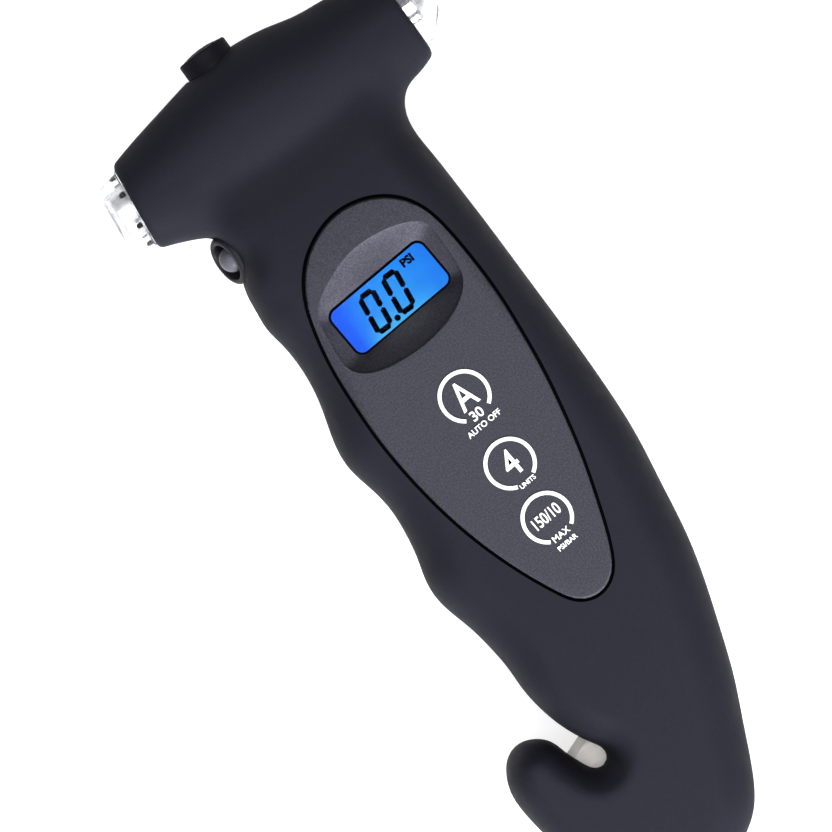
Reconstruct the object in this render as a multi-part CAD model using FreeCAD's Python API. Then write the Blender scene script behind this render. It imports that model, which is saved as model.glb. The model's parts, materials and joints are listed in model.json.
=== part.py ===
"""Hand-held digital tyre pressure gauge with a hammer-shaped head and a belt cutter.

The gauge lies on its back: +Z is the way its display faces, +Y runs up the handle to the head, and +X
is the display's right. The left end of the head is the valve nozzle in a lit clear collar, the right
end a steel glass-breaker point under a clear cap. A push button on the head switches the lamp, a
trigger under the head takes the reading, and a hook at the foot of the handle holds the cutter blade.
Lengths are millimetres, angles degrees. The origin is at the middle of the overall outline, on the
surface that the gauge lies on.
"""
import FreeCAD
import Part
import math
import os

V = FreeCAD.Vector
X_AXIS = V(1, 0, 0)
Y_AXIS = V(0, 1, 0)

# ---- driving dimensions -------------------------------------------------------------------------
body_depth = 26.0               # back to front of the handle
part_z = body_depth / 2         # plane in which the two shells meet
wall = 2.2                      # moulded wall
edge_in = 3.2                   # rounding of the handle's edge, measured across
edge_up = 8.5                   # rounding of the handle's edge, measured through
shell_gap = 0.05                # between the two shells
fit_gap = 0.15                  # between a part and the pocket that it drops into
handle_x = -1.7                 # middle line of the handle

# hand grip, from the neck down the right side, round the foot and hook, and up the finger side
outline_points = [
    (17.6, 66.0), (18.5, 57.0), (18.6, 48.0), (19.0, 34.0), (19.35, 14.0), (18.9, -8.0),
    (17.2, -23.0), (14.4, -37.5), (10.4, -50.0), (5.8, -61.3), (0.6, -72.2), (-4.6, -78.5),
    (-12.0, -82.6), (-20.5, -82.05), (-27.8, -76.6), (-32.4, -68.0), (-34.2, -59.0), (-34.4, -52.0),
    (-32.6, -47.0), (-29.0, -44.9), (-25.6, -46.1), (-23.4, -49.2), (-22.3, -52.8), (-21.4, -55.4),
    (-19.6, -56.2), (-17.9, -54.9), (-17.9, -52.4), (-19.6, -49.0), (-21.4, -45.0), (-22.3, -39.0),
    (-22.3, -33.0), (-23.4, -24.0), (-25.1, -15.5), (-23.7, -8.0), (-22.7, 0.5), (-24.1, 9.5),
    (-23.4, 17.0), (-21.2, 25.5), (-20.8, 31.5), (-21.4, 39.0), (-20.2, 46.0), (-19.2, 53.0),
    (-18.6, 60.0), (-17.6, 66.0), (0.0, 66.6),
]
outline_samples = 110

# hammer-shaped head, along X
head_y = 68.0                   # height of the head's axis
face_radius = 8.0
nozzle_face_x = -27.7
hammer_face_x = 29.1
head_stations = [               # x, middle y, half height, half depth
    (nozzle_face_x, head_y, face_radius, face_radius),
    (-21.5, 67.6, 9.9, 9.0),
    (-11.0, 67.4, 11.8, 10.6),
    (0.7, 67.3, 13.2, 11.2),
    (12.4, 67.4, 11.8, 10.6),
    (22.9, 67.6, 9.9, 9.0),
    (hammer_face_x, head_y, face_radius, face_radius),
]

# front panel and display
panel_bottom_z = 24.2
panel_top_z = 26.2
panel_points = [                # teardrop outline, leaning a little to the left at its middle
    (-1.8, 46.7), (2.3, 46.6), (6.5, 45.1), (9.9, 42.3), (12.1, 38.3), (13.0, 34.1), (13.4, 29.8),
    (13.6, 25.6), (13.6, 19.3), (13.15, 13.1), (12.2, 4.8), (10.7, -3.4), (8.8, -11.4), (6.4, -19.2),
    (3.5, -26.9), (1.4, -30.1), (-2.1, -31.7), (-5.7, -30.5), (-8.0, -27.2), (-11.4, -19.5),
    (-14.0, -11.6), (-15.8, -3.6), (-16.9, 4.7), (-17.3, 12.0), (-17.1, 19.0), (-16.6, 25.4),
    (-15.0, 33.5), (-13.7, 37.3), (-11.8, 40.6), (-9.2, 43.4), (-5.9, 45.4),
]
panel_samples = 60
display_y = 29.8
window_size = (20.4, 9.8)
recess_size = (25.4, 13.0)
recess_bulge = 2.3              # how far the recess's long sides bow out
window_corner = 1.8
recess_corner = 3.4
recess_floor_z = 24.7

lens_z = (23.0, 24.15)
lens_plate = (24.8, 14.4)
lcd_z = (20.8, 22.9)
lcd_plate = (24.6, 14.2)
light_z = (18.55, 20.7)
light_plate = (24.6, 11.4)
strip_size = (23.0, 1.2)        # each elastomer strip
strip_y = 6.5
aperture = (25.2, 14.8)
holder_outer = (28.6, 17.8)
holder_inner = (25.0, 14.6)

board_z = (16.7, 18.3)
cavity_top_z = 22.4
cavity_low_y = -39.5            # where the handle's cavity starts to close

# trigger under the head, on the finger side
trigger_y = 51.2
trigger_x = -19.0
trigger_z = 14.8
trigger_tilt = 24.0             # degrees that it leans towards the front
trigger_travel = 0.8
trigger_back = -3.3             # back of the button's flange
bezel_radius = 4.6
bezel_bore = 2.8
bezel_out = 1.9                 # stands out of the wall
bezel_in = 2.6
sleeve_radius = 5.2

# lamp button on the top of the head
button_x = -3.2
button_radius = 4.65
button_neck = 4.1
button_flange = 6.2
button_top_y = 83.0
button_travel = 1.2
button_hole = 4.95
button_flange_y = (76.0, 77.0)

# nozzle: a Schrader valve stem of 7.7 mm goes in
stem_bore = 4.0
stem_depth = 6.5
chuck_radius = 4.7
chuck_tip_x = -31.0
chuck_back_x = -17.0
collar_radius = 6.9
collar_tip_x = -32.2
collar_flange = 7.2
collar_flange_x = (-26.6, -24.8)
lamp_count = 6
lamp_circle = 5.75
lamp_radius = 0.55
lamp_board_radius = 6.4
sensor_radius = 4.6
sensor_back_x = -8.95           # back of the sensor's board
rib_x = [(-22.45, -21.65), (-19.35, -18.0), (-14.2, -12.8), (18.6, 20.6), (23.4, 25.2)]
chuck_flange_x = (-21.5, -19.5)
chuck_flange = 5.9

# glass breaker and its cap
tip_collar_radius = 3.8
tip_collar_x = 31.4
tip_point_x = 33.0
tip_shank_x = 16.0
cap_radius = 6.7
cap_wall = 1.0
cap_tip_x = 34.55
cap_shoulder_x = 31.0           # where the cap starts to narrow
cap_nose_radius = 2.8

# belt cutter
blade_thickness = 0.7
blade_length = 15.0
blade_width = 8.0
blade_edge_point = (-21.1, -50.2)
blade_angle = 20.0
blade_bevel = 1.6
blade_pin_radius = 1.2
blade_pin_offset = 5.2

# batteries (two AAA cells) and their door
cell_radius = 5.25
cell_length = 44.5
cell_x = (handle_x - 5.45, handle_x + 5.45)
cell_z = 7.85
cell_nub = (1.9, 0.8)           # radius and height of the positive end
bay_y = (-31.5, 21.5)
bay_half_width = 11.3
bulkhead = 1.4
contact_sheet = 0.4
contact_dimple = 1.2            # how far a positive contact stands off its plate
spring_wire = 0.3
plate_z = (4.6, 10.5)
plate_tab_z = 12.7              # top of the tabs that the wires are soldered to
door_y = (-32.5, 22.3)
door_half_width = 12.4
door_z = (0.3, 2.2)
door_tongue = 2.4
door_tab_z = 4.2

# housing screws, driven in from the back
screw_places = [(-13.6, 43.6), (10.4, 43.6), (-15.6, -39.0), (7.6, -39.0), (-15.5, -69.0)]
screw_head_radius = 2.2
screw_radius = 1.15
screw_seat_z = 3.2
screw_end_z = 19.0
boss_radius = 3.1

parts = {}


def keep(name, *solids):
    """Collects the solids of one sub-part."""
    parts.setdefault(name, []).extend(solids)


# ---- small building blocks ----------------------------------------------------------------------
def box(x0, x1, y0, y1, z0, z1):
    return Part.makeBox(x1 - x0, y1 - y0, z1 - z0, V(x0, y0, z0))


def cyl(radius, start, end):
    """Cylinder between two points."""
    way = end - start
    return Part.makeCylinder(radius, way.Length, start, way)


def x_cyl(radius, x0, x1, y=head_y, z=part_z):
    return cyl(radius, V(x0, y, z), V(x1, y, z))


def y_cyl(radius, x, y0, y1, z=part_z):
    return cyl(radius, V(x, y0, z), V(x, y1, z))


def z_cyl(radius, x, y, z0, z1):
    return cyl(radius, V(x, y, z0), V(x, y, z1))


def plate(size, z_range, x=handle_x, y=display_y):
    """Rectangular plate centred on the display."""
    return box(x - size[0] / 2, x + size[0] / 2, y - size[1] / 2, y + size[1] / 2, *z_range)


def closed_spline(points):
    curve = Part.BSplineCurve()
    curve.interpolate(Points=points, PeriodicFlag=True)
    return curve


def sampled(curve, count):
    """Points spread evenly along a closed curve, each with its inward normal in the XY plane."""
    first, last = curve.FirstParameter, curve.LastParameter
    found = []
    lengths = [curve.length(first, last) * i / count for i in range(count)]
    for length in lengths:
        u = curve.parameterAtDistance(length, first)
        tangent = curve.tangent(u)[0]
        found.append((curve.value(u), V(tangent.y, -tangent.x, 0)))
    area = sum(a[0].x * b[0].y - b[0].x * a[0].y for a, b in zip(found, found[1:] + found[:1]))
    side = 1 if area < 0 else -1
    return [(p, n * side) for p, n in found]


def inset_points(samples, inset, z):
    return [V(p.x + n.x * inset, p.y + n.y * inset, z) for p, n in samples]


def rounded_slab(samples, z0, z1, across, through, inset=0.0):
    """Slab of the sampled outline from z0 to z1, its edges rounded to a quarter ellipse both ways."""
    angles = [0, 30, 52, 71, 90]
    low = [(z0 + through * (1 - math.sin(math.radians(a))), across * (1 - math.cos(math.radians(a))))
           for a in reversed(angles)]
    high = [(z0 + z1 - z, d) for z, d in reversed(low)]
    wires = [Part.Wire([closed_spline(inset_points(samples, inset + d, z)).toShape()])
             for z, d in low + high]
    return Part.makeLoft(wires, True, False)


def rounded_rectangle(width, height, corner, x, y, z, bulge=0.0):
    """Closed wire, its long sides bowed out by bulge."""
    w, h = width / 2, height / 2
    cut = corner * (1 - math.sqrt(0.5))
    half_w, half_h = w - corner, h - corner
    edges = []
    for sx, sy in ((1, 1), (-1, 1), (-1, -1), (1, -1)):
        ends = [V(x + sx * w, y + sy * half_h, z), V(x + sx * half_w, y + sy * h, z)]
        middle = V(x + sx * (w - cut), y + sy * (h - cut), z)
        if sx * sy < 0:
            ends.reverse()
        edges.append(Part.Arc(ends[0], middle, ends[1]).toShape())
        if sy > 0 and sx > 0 or sy < 0 and sx < 0:
            far = V(x - sx * half_w, y + sy * h, z)
            peak = V(x, y + sy * (h + bulge), z)
            edge = Part.Arc(ends[1], peak, far) if bulge else Part.LineSegment(ends[1], far)
        else:
            far = V(x + sx * w, y - sy * half_h, z)
            edge = Part.LineSegment(ends[1], far)
        edges.append(edge.toShape())
    return Part.Wire(Part.__sortEdges__(edges))


def prism(wire, z0, z1):
    face = Part.Face(wire)
    face.translate(V(0, 0, z0 - wire.BoundBox.ZMin))
    return face.extrude(V(0, 0, z1 - z0))


# ---- housing ------------------------------------------------------------------------------------
grip = sampled(closed_spline([V(x, y, 0) for x, y in outline_points]), outline_samples)


def side_envelope(inset=0.0):
    """Block that slopes the front and the back towards the head and the foot."""
    front, back = body_depth - inset, inset
    far = 60
    wire = Part.Wire([
        Part.LineSegment(V(-far, -30, front), V(-far, 40, front)).toShape(),
        Part.Arc(V(-far, 40, front), V(-far, 56, front - 0.9), V(-far, 70, front - 3.8)).toShape(),
        Part.LineSegment(V(-far, 70, front - 3.8), V(-far, 70, back + 3.8)).toShape(),
        Part.Arc(V(-far, 70, back + 3.8), V(-far, 56, back + 0.9), V(-far, 40, back)).toShape(),
        Part.LineSegment(V(-far, 40, back), V(-far, -58, back)).toShape(),
        Part.Arc(V(-far, -58, back), V(-far, -72, back + 1.0), V(-far, -84, back + 3.6)).toShape(),
        Part.LineSegment(V(-far, -84, back + 3.6), V(-far, -84, front - 6.4)).toShape(),
        Part.Arc(V(-far, -84, front - 6.4), V(-far, -57, front - 1.6), V(-far, -30, front)).toShape(),
    ])
    return Part.Face(wire).extrude(V(2 * far, 0, 0))


def ellipse_wire(x, y, half_height, half_depth):
    """Closed ellipse across the head's axis."""
    points = []
    for i in range(24):
        a = 2 * math.pi * i / 24
        points.append(V(x, y + half_height * math.cos(a), part_z + half_depth * math.sin(a)))
    return Part.Wire([closed_spline(points).toShape()])


def head_solid(inset=0.0, x_inset=0.0):
    wires = []
    for i, (x, y, half_height, half_depth) in enumerate(head_stations):
        shift = x_inset if i == 0 else -x_inset if i == len(head_stations) - 1 else 0.0
        wires.append(ellipse_wire(x + shift, y, half_height - inset, half_depth - inset))
    return Part.makeLoft(wires, True, False)


def handle_solid():
    slab = rounded_slab(grip, 0, body_depth, edge_in, edge_up)
    return slab.common(side_envelope())


def handle_cavity():
    """Inside of the handle, one wall in from the outside, ending in a round floor above the slot."""
    inner = [p + n * wall for p, n in grip]
    first_low = next(i for i, p in enumerate(inner) if p.y < cavity_low_y)
    after_low = max(i for i, p in enumerate(inner) if p.y < cavity_low_y) + 1
    floor = V(handle_x - 2.5, cavity_low_y - 4.5, 0)
    points = inner[:first_low] + [floor] + inner[after_low:]
    samples = sampled(closed_spline(points), outline_samples)
    slab = rounded_slab(samples, wall, body_depth - wall, edge_in - 0.6 * wall, edge_up - wall)
    return slab.common(side_envelope(wall)).common(box(-60, 60, -60, 70, 0, cavity_top_z))


def panel_outline(inset=0.0):
    """The teardrop panel's outline at z = 0."""
    samples = sampled(closed_spline([V(x, y, 0) for x, y in panel_points]), panel_samples)
    return Part.Wire([closed_spline(inset_points(samples, inset, 0)).toShape()])


def trigger_axis():
    a = math.radians(trigger_tilt)
    return V(-math.cos(a), 0, math.sin(a))


def trigger_cyl(radius, inner, outer):
    """Cylinder on the trigger's axis, measured outwards from the wall."""
    middle, out = V(trigger_x, trigger_y, trigger_z), trigger_axis()
    return cyl(radius, middle + out * inner, middle + out * outer)


def blade_frame():
    """Edge point, direction along the edge, and direction from the edge into the hook."""
    a = math.radians(blade_angle)
    along = V(math.cos(a), math.sin(a), 0)
    return V(blade_edge_point[0], blade_edge_point[1], part_z), along, V(along.y, -along.x, 0)


def blade_solid(grow=0.0):
    start, along, back = blade_frame()
    half = blade_length / 2 + grow
    low, high = -blade_thickness / 2 - grow, blade_thickness / 2 + grow
    near = blade_bevel if not grow else -grow
    corners = [start - along * half + back * near, start + along * half + back * near,
               start + along * half + back * (blade_width + grow),
               start - along * half + back * (blade_width + grow)]
    wire = Part.makePolygon([c + V(0, 0, low) for c in corners + corners[:1]])
    solid = Part.Face(wire).extrude(V(0, 0, high - low))
    if not grow:
        wedge = Part.makePolygon([start - along * half + back * near + V(0, 0, low),
                                  start - along * half + back * near + V(0, 0, high),
                                  start - along * half,
                                  start - along * half + back * near + V(0, 0, low)])
        solid = solid.fuse(Part.Face(wedge).extrude(along * (2 * half))).removeSplitter()
    return solid


def blade_pins(radius, z0, z1):
    start, along, back = blade_frame()
    middle = start + back * (blade_width * 0.62)
    return [z_cyl(radius, (middle + along * s).x, (middle + along * s).y, z0, z1)
            for s in (-blade_pin_offset, blade_pin_offset)]


def fused(solids):
    result = solids[0]
    for solid in solids[1:]:
        result = result.fuse(solid)
    return result.removeSplitter()


def housing():
    """Front and rear shells, cut from one hollow body."""
    body = handle_solid().fuse(head_solid()).removeSplitter()
    hollow = handle_cavity().fuse(head_solid(wall, x_inset=wall))
    front_half = box(-60, 60, -100, 100, part_z + shell_gap / 2, 60)
    rear_half = box(-60, 60, -100, 100, -10, part_z - shell_gap / 2)
    front = body.common(front_half).cut(hollow)
    rear = body.common(rear_half).cut(hollow)

    front_bosses = [z_cyl(boss_radius, x, y, part_z + shell_gap / 2, cavity_top_z + 0.6)
                    for x, y in screw_places[:4]]
    rear_bosses = [z_cyl(boss_radius, x, y, wall / 2, part_z - shell_gap / 2)
                   for x, y in screw_places[:4]]
    front = fused([front] + front_bosses + front_ribs())
    rear = fused([rear] + rear_bosses + rear_ribs())
    front = front.cut(Part.makeCompound(front_openings()))
    rear = rear.cut(Part.makeCompound(rear_openings()))
    for name, shell in (("front_shell", front), ("rear_shell", rear)):
        solids = sorted(shell.Solids, key=lambda s: -s.Volume)
        print(name, [round(s.Volume, 1) for s in solids])
        keep(name, solids[0])


def trigger_sleeve():
    """Tube inside the wall that holds the trigger's switch."""
    return trigger_cyl(sleeve_radius, trigger_back - trigger_travel - 2.1, -1.2)


def head_ribs(z0, z1):
    """Webs across the head that hold the nozzle and the glass breaker."""
    ribs = []
    for x0, x1 in rib_x:
        ribs.append(box(x0, x1, head_y - 12, head_y + 12, z0, z1))
    inner = head_solid(wall / 2, x_inset=wall / 2)
    return [rib.common(inner) for rib in ribs]


def switch_board_ribs(side):
    """Slotted webs that hold the lamp switch's board by its long edges."""
    ribs = []
    for x in (button_x - 3.6, button_x + 12.6):
        z0, z1 = sorted((part_z + side * 3.8, part_z + side * 12))
        rib = box(x - 0.6, x + 0.6, head_y - 1, head_y + 5.5, z0, z1)
        ribs.append(rib.cut(box(x - 1, x + 1, 69.9, 71.1, part_z - 5.1, part_z + 5.1))
                    .common(head_solid(wall / 2, x_inset=wall / 2)))
    return ribs


def front_ribs():
    ribs = head_ribs(part_z + shell_gap / 2, part_z + 12) + switch_board_ribs(1)
    # posts that the main board is screwed to
    for x, y in board_posts:
        ribs.append(z_cyl(2.2, x, y, board_z[1] + 0.02, cavity_top_z + 0.6))
    ribs.append(trigger_sleeve().common(box(-60, 60, 0, 100, part_z + shell_gap / 2, 30)))
    return ribs


def rear_ribs():
    top = part_z - shell_gap / 2
    ribs = head_ribs(part_z - 12, top) + switch_board_ribs(-1)
    x0, x1 = handle_x - bay_half_width - bulkhead, handle_x + bay_half_width + bulkhead
    ribs.append(box(x0, x1, bay_y[0] - bulkhead, bay_y[0], wall / 2, top - 1.5))
    ribs.append(box(x0, x1, bay_y[1], bay_y[1] + bulkhead, wall / 2, top - 1.5))
    ribs.append(box(x0, x0 + bulkhead, bay_y[0], bay_y[1], wall / 2, 9.0))
    ribs.append(box(x1 - bulkhead, x1, bay_y[0], bay_y[1], wall / 2, 9.0))
    ribs.append(trigger_sleeve().common(box(-60, 60, 0, 100, 0, top)))
    # cradle between the cells
    ribs.append(box(handle_x - 0.8, handle_x + 0.8, bay_y[0], bay_y[1], 10.6, 11.6))
    return ribs


def shared_openings():
    """Cuts that pass through both shells."""
    cuts = [
        y_cyl(button_hole, button_x, 70, 90),
        x_cyl(collar_radius + fit_gap, nozzle_face_x - 1, collar_flange_x[1]),
        x_cyl(collar_flange + fit_gap, collar_flange_x[0] - fit_gap, collar_flange_x[1] + fit_gap),
        x_cyl(chuck_radius + fit_gap, -30, chuck_back_x),
        x_cyl(chuck_flange + fit_gap, chuck_flange_x[0] - fit_gap, chuck_flange_x[1] + fit_gap),
        x_cyl(2.3 + 0.05, 16.0, 31),
        x_cyl(3.3 + 0.05, 20.6, 23.4),
        x_cyl(lamp_board_radius + 0.2, collar_flange_x[1], rib_x[0][0]),
        x_cyl(sensor_radius + 0.1, rib_x[1][1], rib_x[2][1] + 0.2),
        y_cyl(button_flange + 0.2, button_x, 73, button_flange_y[1] + 0.1),
        x_cyl(tip_collar_radius + fit_gap, 28.2, 31),
        blade_solid(fit_gap),
    ]
    cuts += blade_pins(blade_pin_radius + 0.1, part_z - 2.1, part_z + 2.1)
    cuts.append(trigger_cyl(bezel_radius + 0.08, -bezel_in, 6))
    cuts.append(trigger_cyl(bezel_bore + 0.5, -12, 0))
    cuts.append(trigger_cyl(4.6, -12, trigger_back - trigger_travel - 2.1))
    # annular seat for the cap's rim
    cuts.append(x_cyl(cap_radius + fit_gap, hammer_face_x - 1.6, hammer_face_x + 1)
                .cut(x_cyl(cap_radius - cap_wall - fit_gap, hammer_face_x - 3, hammer_face_x + 2)))
    return cuts


def front_openings():
    cuts = shared_openings()
    cuts.append(prism(panel_outline(-0.4), panel_bottom_z - 0.05, 40))
    cuts.append(plate(aperture, (15, 30)))
    cuts += [z_cyl(screw_radius + 0.06, x, y, part_z - 1, screw_end_z + 0.8) for x, y in screw_places]
    cuts += [z_cyl(0.86, x, y, board_z[0], cavity_top_z - 0.4) for x, y in board_posts]
    return cuts


def rear_openings():
    cuts = shared_openings()
    x0, x1 = handle_x - door_half_width, handle_x + door_half_width
    cuts.append(box(x0 - fit_gap, x1 + fit_gap, door_y[0] - fit_gap, door_y[1] + fit_gap, -1, 2.4))
    cuts.append(box(handle_x - bay_half_width, handle_x + bay_half_width, bay_y[0], bay_y[1], -1, 10.5))
    # pockets for the door's two tongues
    cuts.append(box(handle_x - 9.4, handle_x + 9.4, bay_y[1] - 0.1, door_y[1] + door_tongue + 0.5,
                    wall + 0.05, 5.6))
    for x, y in screw_places:
        cuts.append(z_cyl(screw_head_radius + 0.3, x, y, -1, screw_seat_z))
        cuts.append(z_cyl(screw_radius + 0.25, x, y, 0, part_z + 1))
    return cuts


board_posts = [(-13.6, 12.6), (10.2, 12.6), (handle_x, 46.8)]


def front_panel():
    """Teardrop panel with the display's recess."""
    solid = prism(panel_outline(), panel_bottom_z, panel_top_z)
    rim = rounded_rectangle(*recess_size, recess_corner, handle_x, display_y, panel_top_z + 0.01,
                            recess_bulge)
    seat = rounded_rectangle(*window_size, window_corner, handle_x, display_y, recess_floor_z, 0.001)
    solid = solid.cut(Part.makeLoft([seat, rim], True, True))
    opening = rounded_rectangle(*window_size, window_corner, handle_x, display_y, 0, 0.001)
    keep("panel_plate", solid.cut(prism(opening, panel_bottom_z - 1, panel_top_z + 1)))


def display():
    """Window, liquid crystal glass, light guide, elastomer strips and the frame that holds them."""
    keep("display_window", plate(lens_plate, lens_z))
    keep("lcd_glass", plate(lcd_plate, lcd_z))
    keep("backlight_guide", plate(light_plate, light_z))
    for side in (-1, 1):
        keep("contact_strips", plate(strip_size, (board_z[1], lcd_z[0]), y=display_y + side * strip_y))
    frame = plate(holder_outer, (board_z[1], 22.3)).cut(plate(holder_inner, (0, 40)))
    keep("display_frame", frame)


def main_board():
    """Printed circuit board in its T shape, with its chip, timing crystal and screws."""
    wide = box(handle_x - 15.2, handle_x + 15.2, 9.2, 40.0, *board_z)
    neck = box(handle_x - 7.5, handle_x + 7.5, 39.0, 50.5, *board_z)
    board = wide.fuse(neck).removeSplitter()
    for x, y in board_posts:
        board = board.cut(z_cyl(1.1, x, y, 0, 40))
        keep("board_screws", z_cyl(0.8, x, y, board_z[0], cavity_top_z - 0.6)
             .fuse(z_cyl(1.7, x, y, board_z[0] - 1.2, board_z[0])))
    keep("main_board", board)
    blob = Part.makeSphere(9.0, V(handle_x, 27.0, board_z[0] + 7.1))
    keep("controller_chip", blob.common(z_cyl(6, handle_x, 27.0, board_z[0] - 3, board_z[0])))
    keep("timing_crystal", cyl(1.0, V(handle_x + 4, 35.5, board_z[0] - 1.02),
                               V(handle_x + 10, 35.5, board_z[0] - 1.02)))


def end_edges(solid, x):
    """Circular edges of a turned part that lie in the plane across the head at x."""
    return [e for e in solid.Edges if e.BoundBox.XLength < 0.01 and abs(e.BoundBox.XMin - x) < 0.01]


def nozzle():
    """Valve chuck, its rubber gasket and depressor pin, clear collar, lamps and pressure sensor."""
    mouth = chuck_tip_x
    chuck = x_cyl(chuck_radius, mouth, chuck_back_x)
    chuck = chuck.makeChamfer(0.35, end_edges(chuck, mouth))
    chuck = chuck.fuse(x_cyl(chuck_flange, *chuck_flange_x))
    chuck = chuck.cut(x_cyl(stem_bore, mouth - 1, mouth + stem_depth))
    gasket_x = (mouth + stem_depth, mouth + stem_depth + 2.5)
    chuck = chuck.cut(x_cyl(3.6, gasket_x[0] - 0.1, gasket_x[1]))
    chuck = chuck.cut(x_cyl(1.7, gasket_x[1] - 0.1, chuck_back_x + 1))
    keep("nozzle_chuck", chuck.removeSplitter())
    keep("nozzle_gasket", x_cyl(3.55, *gasket_x).cut(x_cyl(1.5, gasket_x[0] - 1, gasket_x[1] + 1)))
    # pin that pushes the valve core, fluted so that air passes
    pin_end = gasket_x[1] + 4.0
    pin = x_cyl(0.8, gasket_x[0] + 0.1, pin_end).fuse(x_cyl(1.65, gasket_x[1] + 0.1, pin_end))
    for side in (-1, 1):
        pin = pin.cut(box(mouth, 0, head_y + side * 1.9 - 0.7, head_y + side * 1.9 + 0.7, 0, 30))
    keep("valve_depressor", pin)

    collar = x_cyl(collar_radius, collar_tip_x, collar_flange_x[1])
    collar = collar.makeFillet(1.3, end_edges(collar, collar_tip_x))
    collar = collar.fuse(x_cyl(collar_flange, *collar_flange_x))
    keep("nozzle_collar", collar.cut(x_cyl(chuck_radius + 0.08, collar_tip_x - 1, 0)).removeSplitter())

    # ring-shaped lamp board behind the collar, with its lamps
    board_x = collar_flange_x[1] + 1.5
    keep("lamp_board", x_cyl(lamp_board_radius, board_x, board_x + 0.8)
         .cut(x_cyl(chuck_radius + 0.3, -30, 0)))
    for i in range(lamp_count):
        a = 2 * math.pi * (i + 0.5) / lamp_count
        y, z = head_y + lamp_circle * math.cos(a), part_z + lamp_circle * math.sin(a)
        keep("lamps", x_cyl(lamp_radius, collar_flange_x[1] + 0.2, board_x, y, z))

    # pressure sensor on the back of the chuck, sealed by an O-ring
    keep("sensor_seal", Part.makeTorus(3.2, 0.75, V(chuck_back_x + 0.75, head_y, part_z), X_AXIS))
    can_x = (chuck_back_x + 1.5, chuck_back_x + 7.0)
    can = x_cyl(sensor_radius, *can_x).fuse(x_cyl(2.4, chuck_back_x + 0.1, can_x[0]))
    keep("pressure_sensor", can.cut(x_cyl(0.9, chuck_back_x - 1, can_x[0] + 2.0)).removeSplitter())
    keep("sensor_board", box(can_x[1] + 0.05, sensor_back_x, head_y - 6.5, head_y + 6.5,
                             part_z - 5.5, part_z + 5.5))


def glass_breaker():
    """Hardened point with its bright collar, and the clear cap pushed over it."""
    shank = x_cyl(2.3, tip_shank_x + 1.2, tip_collar_x - 1).fuse(x_cyl(3.3, 20.7, 23.3))
    ring = x_cyl(tip_collar_radius, hammer_face_x - 0.7, tip_collar_x)
    ring = ring.makeFillet(0.45, end_edges(ring, tip_collar_x)).cut(x_cyl(2.3, 20, 40))
    keep("tip_collar", ring)
    neck = x_cyl(2.3, tip_collar_x - 1.001, tip_collar_x - 0.4)
    cone = Part.makeCone(2.3, 0.35, tip_point_x - tip_collar_x + 0.4,
                         V(tip_collar_x - 0.4, head_y, part_z), X_AXIS)
    keep("breaker_tip", fused([shank, neck, cone]))

    cap_base_x = hammer_face_x - 1.5
    profile = [
        (cap_base_x, cap_radius - cap_wall), (cap_base_x, cap_radius), (cap_shoulder_x, cap_radius),
        (cap_tip_x, cap_nose_radius), (cap_tip_x, 0), (cap_tip_x - cap_wall, 0),
        (cap_tip_x - cap_wall, cap_nose_radius - 0.35),
        (cap_shoulder_x - 0.35, cap_radius - cap_wall), (cap_base_x, cap_radius - cap_wall),
    ]
    section = Part.Face(Part.makePolygon([V(x, head_y + r, part_z) for x, r in profile]))
    keep("guard_cap", section.revolve(V(0, head_y, part_z), X_AXIS, 360))


def lamp_button():
    """Push button on the head, its rubber pad, switch and switch board."""
    y0, y1 = button_flange_y
    rim_y = button_top_y - 2.6
    crown = 24.0
    cap = y_cyl(button_flange, button_x, y0, y1).fuse(y_cyl(button_neck, button_x, y1 - 0.1, rim_y + 0.5))
    head = Part.makeCone(button_neck, button_radius, 0.7, V(button_x, rim_y, part_z), Y_AXIS)
    head = head.fuse(y_cyl(button_radius, button_x, rim_y + 0.7, button_top_y))
    head = head.common(Part.makeSphere(crown, V(button_x, button_top_y - crown, part_z)))
    cap = cap.fuse(head)
    plunger = y_cyl(1.6, button_x, 74.5, y0)
    keep("lamp_button", cap.fuse(plunger).removeSplitter())
    board_top = 71.0
    switch_top = board_top + 2.0
    keep("lamp_switch", box(button_x - 3, button_x + 3, board_top, switch_top, part_z - 3, part_z + 3)
         .fuse(y_cyl(1.5, button_x, switch_top, 74.5 - button_travel - 0.1)))
    keep("switch_board", box(button_x - 4.4, button_x + 14.5, board_top - 1.0, board_top,
                             part_z - 5, part_z + 5))


def trigger():
    """Bezel ring, button, and the switch on its round board behind it."""
    bezel = trigger_cyl(bezel_radius, -bezel_in, bezel_out)
    rim = [e for e in bezel.Edges if e.Curve.TypeId == "Part::GeomCircle"
           and (e.Curve.Center - V(trigger_x, trigger_y, trigger_z)).dot(trigger_axis()) > 0]
    bezel = bezel.makeFillet(0.7, rim).cut(trigger_cyl(bezel_bore, -bezel_in - 1, bezel_out + 1))
    keep("trigger_bezel", bezel)
    stem_radius, top = bezel_bore - 0.2, bezel_out + 0.5
    ball = 9.0
    centre = V(trigger_x, trigger_y, trigger_z) + trigger_axis() * (top - ball)
    button = trigger_cyl(stem_radius, trigger_back, top + 0.1).common(Part.makeSphere(ball, centre))
    button = button.fuse(trigger_cyl(bezel_bore + 0.35, trigger_back, -bezel_in - 0.05))
    keep("trigger_button", button.removeSplitter())
    tip = trigger_back - trigger_travel - 0.05
    keep("trigger_switch", trigger_cyl(2.6, tip - 2.1, tip - 0.4).fuse(trigger_cyl(1.0, tip - 0.4, tip))
         .removeSplitter())
    keep("trigger_board", trigger_cyl(4.4, tip - 3.1, tip - 2.1))


def cutter():
    """Blade across the closed end of the slot, on two dowels."""
    keep("cutter_blade", blade_solid().cut(Part.makeCompound(blade_pins(blade_pin_radius + 0.05, 0, 30))))
    keep("blade_dowels", *blade_pins(blade_pin_radius, part_z - 2.0, part_z + 2.0))


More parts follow.
